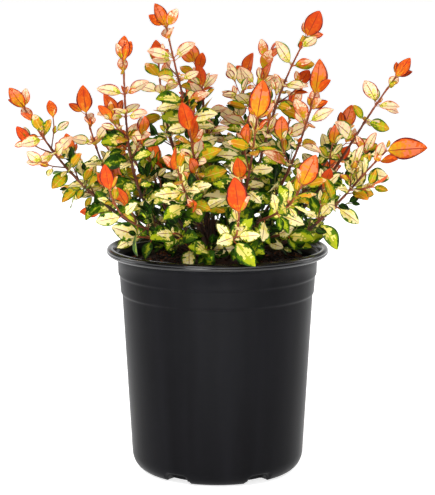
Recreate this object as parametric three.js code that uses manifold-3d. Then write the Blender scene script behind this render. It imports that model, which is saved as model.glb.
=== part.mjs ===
// A variegated jasmine in a black nursery pot, in millimetres with +Z up.
// The origin is the middle of the pot's flat underside, and the foot between two drain notches faces -Y.

import * as THREE from 'three';
import { mergeVertices } from 'three/addons/utils/BufferGeometryUtils.js';
import Module from 'manifold-3d';

const wasm = await Module();
wasm.setup();

// Pot
const POT_HEIGHT = 171;
const RIM_RADIUS = 84;
const RIM_INNER_RADIUS = 79.6;
const LIP_DEPTH = 5.5;
const LIP_ROUND = 1.4;
const COLLAR_RADIUS = 75.8;
const LOWER_COLLAR_RADIUS = 74.2;
const STEP_HEIGHTS = [137, 151];
const STEP_IN = 1.1;
const STEP_SLOPE = 1.6;
const BODY_TOP_RADIUS = 72.4;
const BODY_FOOT_RADIUS = 65.6;
const FOOT_RADIUS = 55;
const CORNER_HEIGHT = 14;
const CORNER_STEPS = 4;
const WALL = 1.6;
const FLOOR = 3;
const POT_SEGMENTS = 40;
const FOOT_RING_INNER_RADIUS = 44;
const FOOT_RING_SLOPE = 3;
const NOTCH_COUNT = 6;
const NOTCH_HEIGHT = 8;
const NOTCH_WIDTH = 16;
const NOTCH_SLOPE = 2.5;
const NOTCH_INNER_RADIUS = 50;

// Soil and crown
const SOIL_BELOW_RIM = 10;
const SOIL_EDGE_DROP = 2.5;
const SOIL_FLAT_RADIUS = 45;
const CROWN_RADIUS = 27;
const CROWN_TOP_RADIUS = 21;
const CROWN_HEIGHT = 5;
const CROWN_SIDES = 12;
const FOOT_RISE = 8.5;
const FOOT_SHARE = 0.2;
const SKIRT_FOOT_RISE = 7;
const SKIRT_FOOT_RADIUS = 31;
const STUB_ROOT_SHARE = 0.72;
const STUB_ROOT_DEPTH = 3.4;
const STUB_FLARE = 1.35;
const CLEARANCE = 0.3;
const SHORT_EDGE = 0.01;

// Limbs
const SEED = 11;
const TIP_RADIUS = 0.65;
const TWIG_RADIUS = 0.7;
const TWIG_TIP_RADIUS = 0.5;
const HANDLE_SHARE = 0.4;
const PATH_STEPS = 40;
const TWIG_PATH_STEPS = 10;
const STEM_SIDES = 5;
const TWIG_SIDES = 3;
const STEM_STEPS = 5;
const FOLIAGE_STEPS = 8;
const TWIG_STEPS = 2;
const STUB_SIDES = 4;
const STUB_STEPS = 2;

// Leaf pairs along a shoot, from its tip down
const PAIR_TURN = 78;
const PAIR_TURN_STRAY = 14;
const FIRST_PAIR_BACK = 0.8;
const FIRST_GAP = 8;
const GAP_GROWTH = 2.6;
const LAST_GAP = 17;
const GAP_STRAY = [0.9, 1.1];
const YOUNG_PAIRS = 3;
const OLD_SPREAD = 60;
const YOUNG_CLOSING = 30;
const SPREAD_STRAY = 6;
const LEAF_TURN_STRAY = 10;
const LEAF_SPREAD_STRAY = 8;
const GROWN_SIZE = 0.98;
const YOUNG_SHRINK = 0.32;
const SIZE_PER_PAIR = 0.015;
const SIZE_PAIRS = 4;
const SIZE_STRAY = [0.82, 1.2];
const SMALL_LEAF_CHANCE = 0.18;
const SMALL_LEAF_SIZE = 0.62;
const DROOP_PER_PAIR = 0.09;
const DROOP_PAIRS = 5;
const DROOP_STRAY = [-0.08, 0.18];
const SKIRT_DROOP = 0.4;

// Top leaves, and how far the one of a shoot sags, where it does
const TOP_SPREAD = [2, 14];
const TOP_SIZE = [0.95, 1.08];
const TOP_LEAF_PETIOLE = 1;
const TOP_SAG = { low_right: 0.6 };

// Leaves: most of those nearer than FRONT_DEPTH turn their face to the front, and the others to the back
const PETIOLE = [2.5, 4.5];
const LEAF_WIDTH = [0.5, 0.6];
const FRONT_DEPTH = 30;
const FRONT_CHANCE = 0.82;
const BACK_FRONT_CHANCE = 0.2;
const FACE_UPPER = 0.45;
const FACE_STRAY = 0.35;
const LEAF_THICKNESS = 1.2;
const LEAF_CREST = 0.12;
const LEAF_SINK = 0.35;
const BROAD_LEAF = 16;
const BROAD_LEAF_CORNERS = 6;
const SMALL_LEAF_CORNERS = 4;
const OUTLINE_SHIFT = 0.8;
const SHORTEST_LEAF = 11.5;

// Side twigs
const TWIG_FROM_PAIR = 3;
const TWIG_CHANCE = 0.55;
const TWIG_LEAF_SIZE = 0.85;
const TWIG_BARE = 9;
const TWIG_TURN_STRAY = 20;
const TWIG_REACH = [16, 30];
const TWIG_REACH_SHARE = 0.5;
const TWIG_LEAN = [35, 50];
const TWIG_ALONG = 0.6;
const TWIG_RISE = 0.2;
const TWIG_BEND = 0.3;
const TWIG_ORDER = 0.6;

// Room between shoots, and between leaves and pot
const LEAF_GAP = 4.8;
const TWIG_GAP = 5;
const TWIG_FOOT_STEPS = 3;
const SOIL_GAP = 2.5;
const SAMPLE_ROWS = 7;
const SAMPLE_ACROSS = [-1, -0.4, 0.4, 1];
const SAMPLE_WIDTH = 0.425;
const SAMPLE_SHIFT = 0.85;
const SOIL_MARGIN = 8;
const RIM_MARGIN = 6;
const BELOW_RIM = 25;

// Where each shoot's tip stands (x, y and height over the rim), the angles over the ground at which it
// leaves its foot and reaches its tip, the lengths of its top leaf and its other leaves, the turn of its
// top pair, the share of its length without leaves, and how many side twigs it may grow.
const SHOOT_KEYS = ['name', 'x', 'y', 'over', 'leave', 'arrive', 'top', 'leaf', 'turn', 'bare', 'twigs'];
const MAIN_SHOOTS = [
  ['far_left', -143, -15, 106, 27, 60, 18, 18, 0, 0.34, 1],
  ['left_inner', -99, 5, 100, 8, 74, 20, 18, 20, 0.36, 3],
  ['left_tall', -69, -25, 141, 21, 88, 19, 18, 0, 0.34, 2],
  ['tulip', -45, 35, 135, 70, 86, 18, 19, 50, 0.34, 2],
  ['tallest', -38, 0, 165, 88, 78, 18, 18, 0, 0.34, 1],
  ['centre_back', -17, 45, 135, 88, 58, 17, 18, 0, 0.34, 1],
  ['centre_far', 22, 80, 122, 65, 62, 20, 19, 30, 0.34, 2],
  ['right_far', 37, 55, 137, 66, 54, 18, 20, 10, 0.34, 1],
  ['right_tall', 67, 15, 157, 70, 60, 20, 19, 0, 0.34, 3],
  ['right_mid', 72, -20, 117, 50, 74, 26, 19, 20, 0.34, 2],
  ['far_right', 134, 10, 127, 31, 53, 17, 18, 10, 0.38, 2],
  ['low_right', 123, -45, 78, 8, 45, 28, 19, 0, 0.38, 2],
  ['front_tall', 28, -70, 104, 46, 75, 28, 20, 0, 0.36, 2],
  ['front_left', -20, -60, 94, 61, 66, 21, 20, 30, 0.36, 1],
  ['back_left', -80, 85, 90, 40, 65, 19, 18, 10, 0.36, 2],
  ['back_middle', -20, 110, 100, 50, 65, 20, 18, 0, 0.36, 2],
  ['back_right', 60, 100, 95, 45, 65, 20, 18, 30, 0.36, 2],
  ['side_left', -112, 55, 62, 25, 60, 19, 18, 0, 0.38, 2],
  ['side_right', 98, 60, 82, 30, 60, 19, 18, 0, 0.38, 2],
];
const LOW_SHOOTS = [
  ['inner_left', -54, 20, 73, 25, 75, 15, 17, 60, 0.3, 1],
  ['front_1', -28, -95, 71, 57, 54, 26, 19, 0, 0.3, 1],
  ['front_2', -77, -75, 53, 42, 73, 18, 18, 30, 0.3, 1],
  ['front_3', 59, -100, 60, 60, 54, 26, 19, 0, 0.3, 1],
  ['front_4', 15, -110, 42, 50, 75, 25, 19, 0, 0.3, 0],
  ['rear_1', -50, 112, 48, 45, 65, 20, 18, 0, 0.3, 1],
  ['rear_2', 20, 125, 45, 45, 65, 20, 18, 0, 0.3, 1],
  ['rear_3', 88, 92, 42, 40, 65, 20, 18, 0, 0.3, 1],
];
const SKIRT_AZIMUTHS = [213, 238, 264, 289, 313, 351, 18, 68, 96, 125];
const SKIRT_LEAF = 20;
const SKIRT_BARE = 0.2;
const SKIRT_TURN_STRAY = 3;
const SKIRT_REACH = [60, 74];
const SKIRT_OVER = [6, 20];
const SKIRT_LEAVE = [35, 50];
const SKIRT_ARRIVE = [-5, 20];

// How thick each kind of shoot is at its foot, and whether it has a bare stem of its own
const KINDS = {
  main: { footRadius: 1.5, bareStem: true, leafColour: 0xd9803f },
  low: { footRadius: 1.15, bareStem: false, leafColour: 0xd56a38 },
  skirt: { footRadius: 0.95, bareStem: false, leafColour: 0x6f9a38 },
};

const SOIL_TOP = POT_HEIGHT - SOIL_BELOW_RIM;
const UP = new THREE.Vector3(0, 0, 1);
const SIDEWAYS = new THREE.Vector3(1, 0, 0);
const FACE_FRONT = new THREE.Vector3(0, -1, 0.35);
const FACE_BACK = new THREE.Vector3(0, 1, 0.35);

const radians = THREE.MathUtils.degToRad;

// Small helpers

// A repeatable stream of numbers, the same for the same seed.
function randomStream(seed) {
  let state = (seed * 2654435761 + 12345) % 4294967296;
  const draw = (low = 0, high = 1) => {
    state = (Math.imul(state, 1664525) + 1013904223) >>> 0;
    return low + (high - low) * state / 4294967296;
  };
  for (let i = 0; i < 6; i++) draw();
  return draw;
}

// A vector from amounts of other vectors.
function mix(...pairs) {
  const sum = new THREE.Vector3();
  for (const [vector, amount] of pairs) sum.addScaledVector(vector, amount);
  return sum;
}

// Solids

function solidOf(geometry) {
  geometry.deleteAttribute('normal');
  geometry.deleteAttribute('uv');
  const merged = mergeVertices(geometry, 1e-4);
  return new wasm.Manifold(new wasm.Mesh({
    numProp: 3,
    vertProperties: new Float32Array(merged.attributes.position.array),
    triVerts: new Uint32Array(merged.index.array),
  }));
}

// Joins solids into one body. A sealed hollow is filled, a loose scrap is dropped, and edges that are
// too short to matter are closed up.
function joined(solids) {
  const pieces = wasm.Manifold.union(solids).asOriginal().simplify(SHORT_EDGE).decompose();
  pieces.sort((a, b) => b.volume() - a.volume());
  return pieces[0];
}

function meshOf(name, solid, colour, roughness) {
  const { vertProperties, triVerts } = solid.getMesh();
  const geometry = new THREE.BufferGeometry();
  geometry.setAttribute('position', new THREE.BufferAttribute(vertProperties, 3));
  geometry.setIndex(new THREE.BufferAttribute(triVerts, 1));
  geometry.computeVertexNormals();
  const material = new THREE.MeshStandardMaterial({ color: colour, roughness, metalness: 0 });
  const mesh = new THREE.Mesh(geometry, material);
  mesh.name = name;
  return mesh;
}

// A solid turned from an outline of [radius, height] points.
function turned(outline, segments) {
  const points = outline.map(([radius, height]) => new THREE.Vector2(radius, height));
  const shape = new THREE.LatheGeometry(points, segments);
  shape.rotateX(Math.PI / 2);
  return solidOf(shape);
}

// Pot and soil

// The outer wall from the top of the rounded corner up to the lip.
function wallOutline() {
  const [lower, upper] = STEP_HEIGHTS;
  return [
    [BODY_FOOT_RADIUS, CORNER_HEIGHT],
    [BODY_TOP_RADIUS, lower - STEP_SLOPE],
    [BODY_TOP_RADIUS + STEP_IN, lower],
    [LOWER_COLLAR_RADIUS, upper - STEP_SLOPE],
    [LOWER_COLLAR_RADIUS + STEP_IN, upper],
    [COLLAR_RADIUS, POT_HEIGHT - LIP_DEPTH],
  ];
}

function cornerOutline() {
  const points = [];
  for (let i = 0; i < CORNER_STEPS; i++) {
    const angle = Math.PI / 2 * i / CORNER_STEPS;
    const radius = FOOT_RADIUS + (BODY_FOOT_RADIUS - FOOT_RADIUS) * Math.sin(angle);
    points.push([radius, CORNER_HEIGHT * (1 - Math.cos(angle))]);
  }
  return points;
}

function lipOutline() {
  const under = POT_HEIGHT - LIP_DEPTH;
  return [
    [RIM_RADIUS - LIP_ROUND / 2, under],
    [RIM_RADIUS, under + LIP_ROUND],
    [RIM_RADIUS, POT_HEIGHT - LIP_ROUND],
    [RIM_RADIUS - LIP_ROUND, POT_HEIGHT],
    [RIM_INNER_RADIUS + LIP_ROUND, POT_HEIGHT],
    [RIM_INNER_RADIUS, POT_HEIGHT - LIP_ROUND],
    [RIM_INNER_RADIUS - LIP_ROUND, under + LIP_ROUND],
  ];
}

// The room inside the pot, from its top down to the middle of its floor. A margin shrinks it.
function roomOutline(margin) {
  const ringTop = NOTCH_HEIGHT + WALL + margin;
  const inset = WALL + margin;
  return [
    [COLLAR_RADIUS - inset, POT_HEIGHT - LIP_DEPTH],
    [BODY_TOP_RADIUS - inset, STEP_HEIGHTS[0] - STEP_SLOPE],
    [BODY_FOOT_RADIUS - inset, ringTop],
    [FOOT_RING_INNER_RADIUS + FOOT_RING_SLOPE - margin, ringTop],
    [FOOT_RING_INNER_RADIUS - margin, FLOOR + margin],
    [0, FLOOR + margin],
  ];
}

// A drain notch is NOTCH_WIDTH wide at its top, and wider by NOTCH_SLOPE on each side at the ground.
function drainNotch(index) {
  const length = BODY_FOOT_RADIUS - NOTCH_INNER_RADIUS + WALL;
  const box = new THREE.BoxGeometry(length, NOTCH_WIDTH, 2 * NOTCH_HEIGHT);
  const corners = box.attributes.position;
  for (let i = 0; i < corners.count; i++) {
    const widening = corners.getZ(i) < 0 ? 2 * NOTCH_SLOPE : 0;
    corners.setY(i, corners.getY(i) + Math.sign(corners.getY(i)) * widening);
  }
  box.translate(NOTCH_INNER_RADIUS + length / 2, 0, 0);
  box.rotateZ(2 * Math.PI * index / NOTCH_COUNT);
  return solidOf(box);
}

function potSolid() {
  const outline = [[0, 0], ...cornerOutline(), ...wallOutline(), ...lipOutline(), ...roomOutline(0)];
  let pot = turned(outline, POT_SEGMENTS);
  for (let i = 0; i < NOTCH_COUNT; i++) pot = pot.subtract(drainNotch(i));
  return pot;
}

function soilSolid() {
  const [upper, lower, ...rest] = roomOutline(CLEARANCE);
  const edge = SOIL_TOP - SOIL_EDGE_DROP;
  const share = (edge - lower[1]) / (upper[1] - lower[1]);
  const outline = [
    ...rest.reverse(),
    lower,
    [lower[0] + (upper[0] - lower[0]) * share, edge],
    [SOIL_FLAT_RADIUS, SOIL_TOP],
    [0, SOIL_TOP],
  ];
  return turned(outline, POT_SEGMENTS);
}

// Limbs

// A smooth limb between two points, given by its directions at both ends.
function limbPath(start, end, leave, arrive, steps) {
  const handle = HANDLE_SHARE * start.distanceTo(end);
  const curve = new THREE.CubicBezierCurve3(
    start, mix([start, 1], [leave, handle]), mix([end, 1], [arrive, -handle]), end);
  const points = curve.getPoints(steps);
  const distances = [0];
  for (let i = 1; i < points.length; i++) {
    distances.push(distances[i - 1] + points[i].distanceTo(points[i - 1]));
  }
  const chord = mix([end, 1], [start, -1]).normalize();
  const reference = Math.abs(chord.x) < 0.9 ? SIDEWAYS : UP;
  return { points, distances, length: distances[distances.length - 1], reference };
}

function pathAt(path, distance) {
  const { points, distances } = path;
  let i = 1;
  while (i < points.length - 1 && distances[i] < distance) i++;
  const share = (distance - distances[i - 1]) / (distances[i] - distances[i - 1]);
  const along = mix([points[i], 1], [points[i - 1], -1]).normalize();
  return { point: new THREE.Vector3().lerpVectors(points[i - 1], points[i], share), along };
}

// Two directions square to the limb.
function frameAt(path, along) {
  const across = mix([path.reference, 1], [along, -along.dot(path.reference)]).normalize();
  const over = new THREE.Vector3().crossVectors(across, along);
  return { across, over };
}

// The stretch of a path between two distances as a tapering solid.
function limbSolid(path, from, to, footRadius, tipRadius, sides, steps) {
  const limb = new THREE.CylinderGeometry(tipRadius, footRadius, to - from, sides, steps);
  const corners = limb.attributes.position;
  for (let i = 0; i < corners.count; i++) {
    const { point, along } = pathAt(path, (from + to) / 2 + corners.getY(i));
    const { across, over } = frameAt(path, along);
    point.addScaledVector(across, corners.getX(i)).addScaledVector(over, corners.getZ(i));
    corners.setXYZ(i, point.x, point.y, point.z);
  }
  return solidOf(limb);
}

// A direction that rises at an angle over the ground.
function slope(outward, degrees) {
  return mix([outward, Math.cos(radians(degrees))], [UP, Math.sin(radians(degrees))]);
}

function footOf(shoot, outward) {
  if (shoot.kind === 'skirt') return mix([outward, SKIRT_FOOT_RADIUS], [UP, SOIL_TOP + SKIRT_FOOT_RISE]);
  return new THREE.Vector3(shoot.x * FOOT_SHARE, shoot.y * FOOT_SHARE, SOIL_TOP + FOOT_RISE);
}

function shootPath(shoot) {
  const outward = new THREE.Vector3(shoot.x, shoot.y, 0).normalize();
  const tip = new THREE.Vector3(shoot.x, shoot.y, POT_HEIGHT + shoot.over);
  const leave = slope(outward, shoot.leave);
  return limbPath(footOf(shoot, outward), tip, leave, slope(outward, shoot.arrive), PATH_STEPS);
}

// The short flared foot that joins a shoot to the crown.
function stubSolid(shoot) {
  const { points } = shoot.path;
  const leave = pathAt(shoot.path, 0).along;
  const end = mix([points[0], 1], [leave, -CLEARANCE]);
  const root = new THREE.Vector3(end.x, end.y, 0).multiplyScalar(STUB_ROOT_SHARE);
  root.z = SOIL_TOP + CLEARANCE + CROWN_HEIGHT - STUB_ROOT_DEPTH;
  const path = limbPath(root, end, UP, leave, TWIG_PATH_STEPS);
  const radius = KINDS[shoot.kind].footRadius;
  return limbSolid(path, 0, path.length, radius * STUB_FLARE, radius, STUB_SIDES, STUB_STEPS);
}

function crownSolid(shoots) {
  const foot = SOIL_TOP + CLEARANCE;
  const hub = turned([
    [0, foot],
    [CROWN_RADIUS, foot],
    [CROWN_TOP_RADIUS, foot + CROWN_HEIGHT],
    [0, foot + CROWN_HEIGHT],
  ], CROWN_SIDES);
  return joined([hub, ...shoots.map(stubSolid)]);
}

// Leaves

// One leaf: it spreads from the limb at an angle, sags, and turns its face out to the light.
function growLeaf(base, along, frame, turn, spread, length, droop, draw) {
  const outward = mix([frame.across, Math.cos(radians(turn))], [frame.over, Math.sin(radians(turn))]);
  const lean = radians(spread);
  const direction = mix([along, Math.cos(lean)], [outward, Math.sin(lean)], [UP, -droop]).normalize();
  const front = draw() < (base.y < FRONT_DEPTH ? FRONT_CHANCE : BACK_FRONT_CHANCE);
  const upper = mix([along, Math.sin(lean)], [outward, -Math.cos(lean)]);
  const stray = new THREE.Vector3(draw(-1, 1), draw(-1, 1), draw(-1, 1));
  const face = mix([upper, FACE_UPPER], [front ? FACE_FRONT : FACE_BACK, 1], [stray, FACE_STRAY]);
  const normal = mix([face, 1], [direction, -direction.dot(face)]).normalize();
  const petiole = draw(...PETIOLE);
  const width = length * draw(...LEAF_WIDTH);
  return { base, direction, normal, length, petiole, width };
}

// Leaf pairs from the tip of a path down to where it is bare, and the side twigs that start among them.
function growLeaves(path, size, shootIndex, order, draw, leaves, twigs) {
  const place = (leaf, back) => leaves.push({ ...leaf, shootIndex, order: order + back });
  const tip = pathAt(path, path.length);
  const tipFrame = frameAt(path, tip.along);
  const tilt = [draw(0, 360), draw(...TOP_SPREAD)];
  const topLength = size.top * draw(...TOP_SIZE);
  const topLeaf = growLeaf(tip.point, tip.along, tipFrame, ...tilt, topLength, size.sag, draw);
  place({ ...topLeaf, petiole: TOP_LEAF_PETIOLE }, 0);
  let twigsLeft = size.twigs;
  let pair = 0;
  let back = FIRST_PAIR_BACK;
  while (back < size.leafy) {
    const { point, along } = pathAt(path, path.length - back);
    const frame = frameAt(path, along);
    const young = Math.max(0, 1 - pair / YOUNG_PAIRS);
    const pairSpread = OLD_SPREAD - YOUNG_CLOSING * young + draw(-SPREAD_STRAY, SPREAD_STRAY);
    const turn = size.turn + PAIR_TURN * pair + draw(-PAIR_TURN_STRAY, PAIR_TURN_STRAY);
    const grown = GROWN_SIZE - YOUNG_SHRINK * young + SIZE_PER_PAIR * Math.min(pair, SIZE_PAIRS);
    for (const side of [0, 180]) {
      let length = size.leaf * grown * draw(...SIZE_STRAY);
      if (draw() < SMALL_LEAF_CHANCE) length *= SMALL_LEAF_SIZE;
      const droop = size.droop + DROOP_PER_PAIR * Math.min(pair, DROOP_PAIRS) + draw(...DROOP_STRAY);
      const leafTurn = turn + side + draw(-LEAF_TURN_STRAY, LEAF_TURN_STRAY);
      const spread = pairSpread + draw(-LEAF_SPREAD_STRAY, LEAF_SPREAD_STRAY);
      place(growLeaf(point, along, frame, leafTurn, spread, length, droop, draw), back);
    }
    if (draw() < TWIG_CHANCE && twigsLeft > 0 && pair >= TWIG_FROM_PAIR) {
      twigsLeft -= 1;
      twigs.push({ ...growTwig(point, along, frame, turn, back, draw), shootIndex, order: order + back });
    }
    pair += 1;
    back += Math.min(FIRST_GAP + GAP_GROWTH * pair, LAST_GAP) * draw(...GAP_STRAY);
  }
}

// A side twig out of the axil of a leaf. It is short near the tip of its shoot.
function growTwig(base, along, frame, pairTurn, back, draw) {
  const side = draw() < 0.5 ? 0 : 180;
  const turn = radians(pairTurn + side + draw(-TWIG_TURN_STRAY, TWIG_TURN_STRAY));
  const outward = mix([frame.across, Math.cos(turn)], [frame.over, Math.sin(turn)]);
  const reach = Math.min(draw(...TWIG_REACH), TWIG_REACH_SHARE * back);
  const lean = radians(draw(...TWIG_LEAN));
  const leave = mix([along, Math.cos(lean)], [outward, Math.sin(lean)]).normalize();
  const arrive = mix([leave, 1], [along, TWIG_ALONG], [UP, TWIG_RISE]).normalize();
  const end = mix([leave, 1], [arrive, TWIG_BEND]).normalize().multiplyScalar(reach).add(base);
  return { path: limbPath(base, end, leave, arrive, TWIG_PATH_STEPS), turn: draw(0, 180) };
}

// Points spread over a leaf, to measure its gaps to other leaves and limbs.
function leafPoints(leaf) {
  const side = new THREE.Vector3().crossVectors(leaf.direction, leaf.normal);
  const points = [mix([leaf.base, 1], [leaf.direction, leaf.petiole * 0.5])];
  for (let row = 0; row < SAMPLE_ROWS; row++) {
    const share = (row + 0.5) / SAMPLE_ROWS;
    const reach = leaf.petiole + share * leaf.length;
    const half = SAMPLE_WIDTH * leaf.width * Math.sin(Math.PI * share ** SAMPLE_SHIFT);
    for (const across of SAMPLE_ACROSS) {
      points.push(mix([leaf.base, 1], [leaf.direction, reach], [side, half * across]));
    }
  }
  points.push(mix([leaf.base, 1], [leaf.direction, leaf.petiole + leaf.length]));
  return points;
}

function nearest(points, others) {
  let least = Infinity;
  for (const a of points) {
    for (const b of others) least = Math.min(least, a.distanceToSquared(b));
  }
  return Math.sqrt(least);
}

// True where the points stay over the soil and off the pot.
function clearOfPot(points) {
  return points.every(({ x, y, z }) => {
    const radius = Math.hypot(x, y);
    const inside = radius < RIM_RADIUS + RIM_MARGIN;
    if (radius < RIM_RADIUS + SOIL_MARGIN && z < SOIL_TOP + SOIL_GAP) return false;
    if (radius > RIM_INNER_RADIUS - SOIL_MARGIN && inside && z < POT_HEIGHT + SOIL_GAP) return false;
    return inside || z > POT_HEIGHT - BELOW_RIM;
  });
}

function clearOfLimbs(points, shootIndex, limbs, gap) {
  return limbs.every((limb) => limb.shootIndex === shootIndex || nearest(points, limb.path.points) >= gap);
}

// The plant

function skirtShoot(azimuth, index) {
  const draw = randomStream(SEED * 1000 + 500 + index);
  const turned = radians(azimuth + draw(-SKIRT_TURN_STRAY, SKIRT_TURN_STRAY));
  const reach = draw(...SKIRT_REACH);
  return {
    name: `skirt_${index + 1}`, kind: 'skirt',
    x: reach * Math.cos(turned), y: reach * Math.sin(turned), over: draw(...SKIRT_OVER),
    leave: draw(...SKIRT_LEAVE), arrive: draw(...SKIRT_ARRIVE),
    top: SKIRT_LEAF, leaf: SKIRT_LEAF, turn: 90 * (index % 2), bare: SKIRT_BARE, twigs: 0,
  };
}

function namedShoot(kind, row) {
  const shoot = { kind };
  SHOOT_KEYS.forEach((key, i) => { shoot[key] = row[i]; });
  return shoot;
}

function allShoots() {
  const shoots = [
    ...MAIN_SHOOTS.map((row) => namedShoot('main', row)),
    ...LOW_SHOOTS.map((row) => namedShoot('low', row)),
    ...SKIRT_AZIMUTHS.map(skirtShoot),
  ];
  for (const shoot of shoots) shoot.path = shootPath(shoot);
  return shoots;
}

// Grows every leaf and twig, then keeps those that stay in their shoot's own space.
function growPlant(shoots) {
  const limbs = shoots.map(({ path }, shootIndex) => ({ path, shootIndex }));
  const leaves = [];
  const twigs = [];
  shoots.forEach((shoot, index) => {
    const leafy = shoot.path.length * (1 - shoot.bare);
    const droop = shoot.kind === 'skirt' ? SKIRT_DROOP : 0;
    const size = { ...shoot, leafy, droop, sag: TOP_SAG[shoot.name] ?? 0 };
    growLeaves(shoot.path, size, index, 0, randomStream(SEED * 1000 + index), leaves, twigs);
  });
  const keptTwigs = [];
  twigs.forEach((twig, index) => {
    const outer = twig.path.points.slice(TWIG_FOOT_STEPS);
    if (!clearOfLimbs(outer, twig.shootIndex, [...limbs, ...keptTwigs], TWIG_GAP)) return;
    keptTwigs.push(twig);
    const leaf = shoots[twig.shootIndex].leaf * TWIG_LEAF_SIZE;
    const leafy = twig.path.length - TWIG_BARE;
    const size = { top: leaf, leaf, turn: twig.turn, leafy, droop: 0, sag: 0, twigs: 0 };
    const draw = randomStream(SEED * 2000 + index);
    growLeaves(twig.path, size, twig.shootIndex, twig.order * TWIG_ORDER, draw, leaves, []);
  });
  return { twigs: keptTwigs, leaves: leavesWithRoom(leaves, [...limbs, ...keptTwigs]) };
}

function leavesWithRoom(leaves, limbs) {
  const kept = [];
  const ranked = leaves.filter((leaf) => leaf.length >= SHORTEST_LEAF).sort((a, b) => a.order - b.order);
  for (const leaf of ranked) {
    const points = leafPoints(leaf);
    const middle = points[Math.floor(points.length / 2)];
    const near = kept.filter((other) => other.shootIndex !== leaf.shootIndex
      && other.middle.distanceTo(middle) < other.length + leaf.length + LEAF_GAP);
    if (clearOfPot(points) && clearOfLimbs(points, leaf.shootIndex, limbs, LEAF_GAP)
      && near.every((other) => nearest(points, other.points) >= LEAF_GAP)) {
      kept.push({ ...leaf, points, middle });
    }
  }
  return kept;
}

// A leaf as a thin lens with its root sunk into the limb. A small leaf has fewer corners.
function leafSolid(leaf) {
  const side = new THREE.Vector3().crossVectors(leaf.direction, leaf.normal);
  const total = leaf.petiole + leaf.length + LEAF_SINK;
  const cornerCount = leaf.length > BROAD_LEAF ? BROAD_LEAF_CORNERS : SMALL_LEAF_CORNERS;
  const widest = Math.sin(Math.PI / cornerCount * Math.round(cornerCount / 2 - 0.5));
  const lens = new THREE.SphereGeometry(1, cornerCount, 2);
  const corners = lens.attributes.position;
  for (let i = 0; i < corners.count; i++) {
    const [x, y, z] = [corners.getX(i), corners.getY(i), corners.getZ(i)];
    const isCrest = Math.abs(y) > 0.5;
    const share = isCrest ? LEAF_CREST : Math.max(0, (x + 1) / 2) ** OUTLINE_SHIFT;
    const corner = mix(
      [leaf.base, 1],
      [leaf.direction, share * total - LEAF_SINK],
      [leaf.normal, y * LEAF_THICKNESS / 2],
      [side, z / widest * leaf.width / 2]);
    corners.setXYZ(i, corner.x, corner.y, corner.z);
  }
  return solidOf(lens);
}

// The leafy part of a shoot: its stem, its side twigs and its leaves as one body.
function foliageSolid(shoot, index, plant) {
  const { path } = shoot;
  const { footRadius, bareStem } = KINDS[shoot.kind];
  const from = bareStem ? shoot.bare * path.length + CLEARANCE : 0;
  const radius = footRadius + (TIP_RADIUS - footRadius) * from / path.length;
  const mine = (thing) => thing.shootIndex === index;
  return joined([
    limbSolid(path, from, path.length, radius, TIP_RADIUS, TWIG_SIDES, FOLIAGE_STEPS),
    ...plant.twigs.filter(mine).map((twig) =>
      limbSolid(twig.path, 0, twig.path.length, TWIG_RADIUS, TWIG_TIP_RADIUS, TWIG_SIDES, TWIG_STEPS)),
    ...plant.leaves.filter(mine).map(leafSolid),
  ]);
}

function stemSolid(shoot) {
  const { path } = shoot;
  const { footRadius } = KINDS[shoot.kind];
  const topRadius = footRadius + (TIP_RADIUS - footRadius) * shoot.bare;
  return limbSolid(path, 0, shoot.bare * path.length, footRadius, topRadius, STEM_SIDES, STEM_STEPS);
}

const shoots = allShoots();
const plant = growPlant(shoots);
const group = new THREE.Group();
group.add(meshOf('pot', potSolid(), 0x222325, 0.5));
group.add(meshOf('soil', soilSolid(), 0x2b1a12, 1));
group.add(meshOf('crown', crownSolid(shoots), 0x5a3626, 0.9));
shoots.forEach((shoot, index) => {
  const kind = KINDS[shoot.kind];
  if (kind.bareStem) group.add(meshOf(`stem_${shoot.name}`, stemSolid(shoot), 0x6b3a2a, 0.8));
  group.add(meshOf(`foliage_${shoot.name}`, foliageSolid(shoot, index, plant), kind.leafColour, 0.55));
});

export default group;
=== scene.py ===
"""The looks of a variegated jasmine in a black nursery pot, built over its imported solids.

The plant grows here by the same seeded rule as its solids, then carries on to smaller leaves and twigs.
The growth rule works in millimetres, and meshes are made in metres.
"""

import functools
import math

import bmesh
import bpy
import numpy as np
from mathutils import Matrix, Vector, noise


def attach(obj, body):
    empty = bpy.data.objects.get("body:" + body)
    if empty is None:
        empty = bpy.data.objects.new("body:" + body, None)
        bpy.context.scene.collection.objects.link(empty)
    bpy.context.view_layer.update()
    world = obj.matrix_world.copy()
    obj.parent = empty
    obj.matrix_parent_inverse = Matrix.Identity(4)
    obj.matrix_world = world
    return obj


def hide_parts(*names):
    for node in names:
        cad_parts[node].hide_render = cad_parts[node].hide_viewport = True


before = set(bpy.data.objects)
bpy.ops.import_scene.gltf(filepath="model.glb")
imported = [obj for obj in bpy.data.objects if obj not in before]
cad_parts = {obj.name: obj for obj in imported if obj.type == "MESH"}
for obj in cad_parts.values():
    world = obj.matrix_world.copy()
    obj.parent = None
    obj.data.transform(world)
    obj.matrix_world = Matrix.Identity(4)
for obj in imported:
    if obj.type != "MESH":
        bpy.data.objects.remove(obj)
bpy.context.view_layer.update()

MM = 0.001
WELD_GAP = 1e-6

# Camera, in metres
CAMERA_PLACE = (0, -1.4, 0.4077)
CAMERA_DOWN = 9.64
CAMERA_LENS = 136.2
SENSOR_WIDTH = 36

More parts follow.
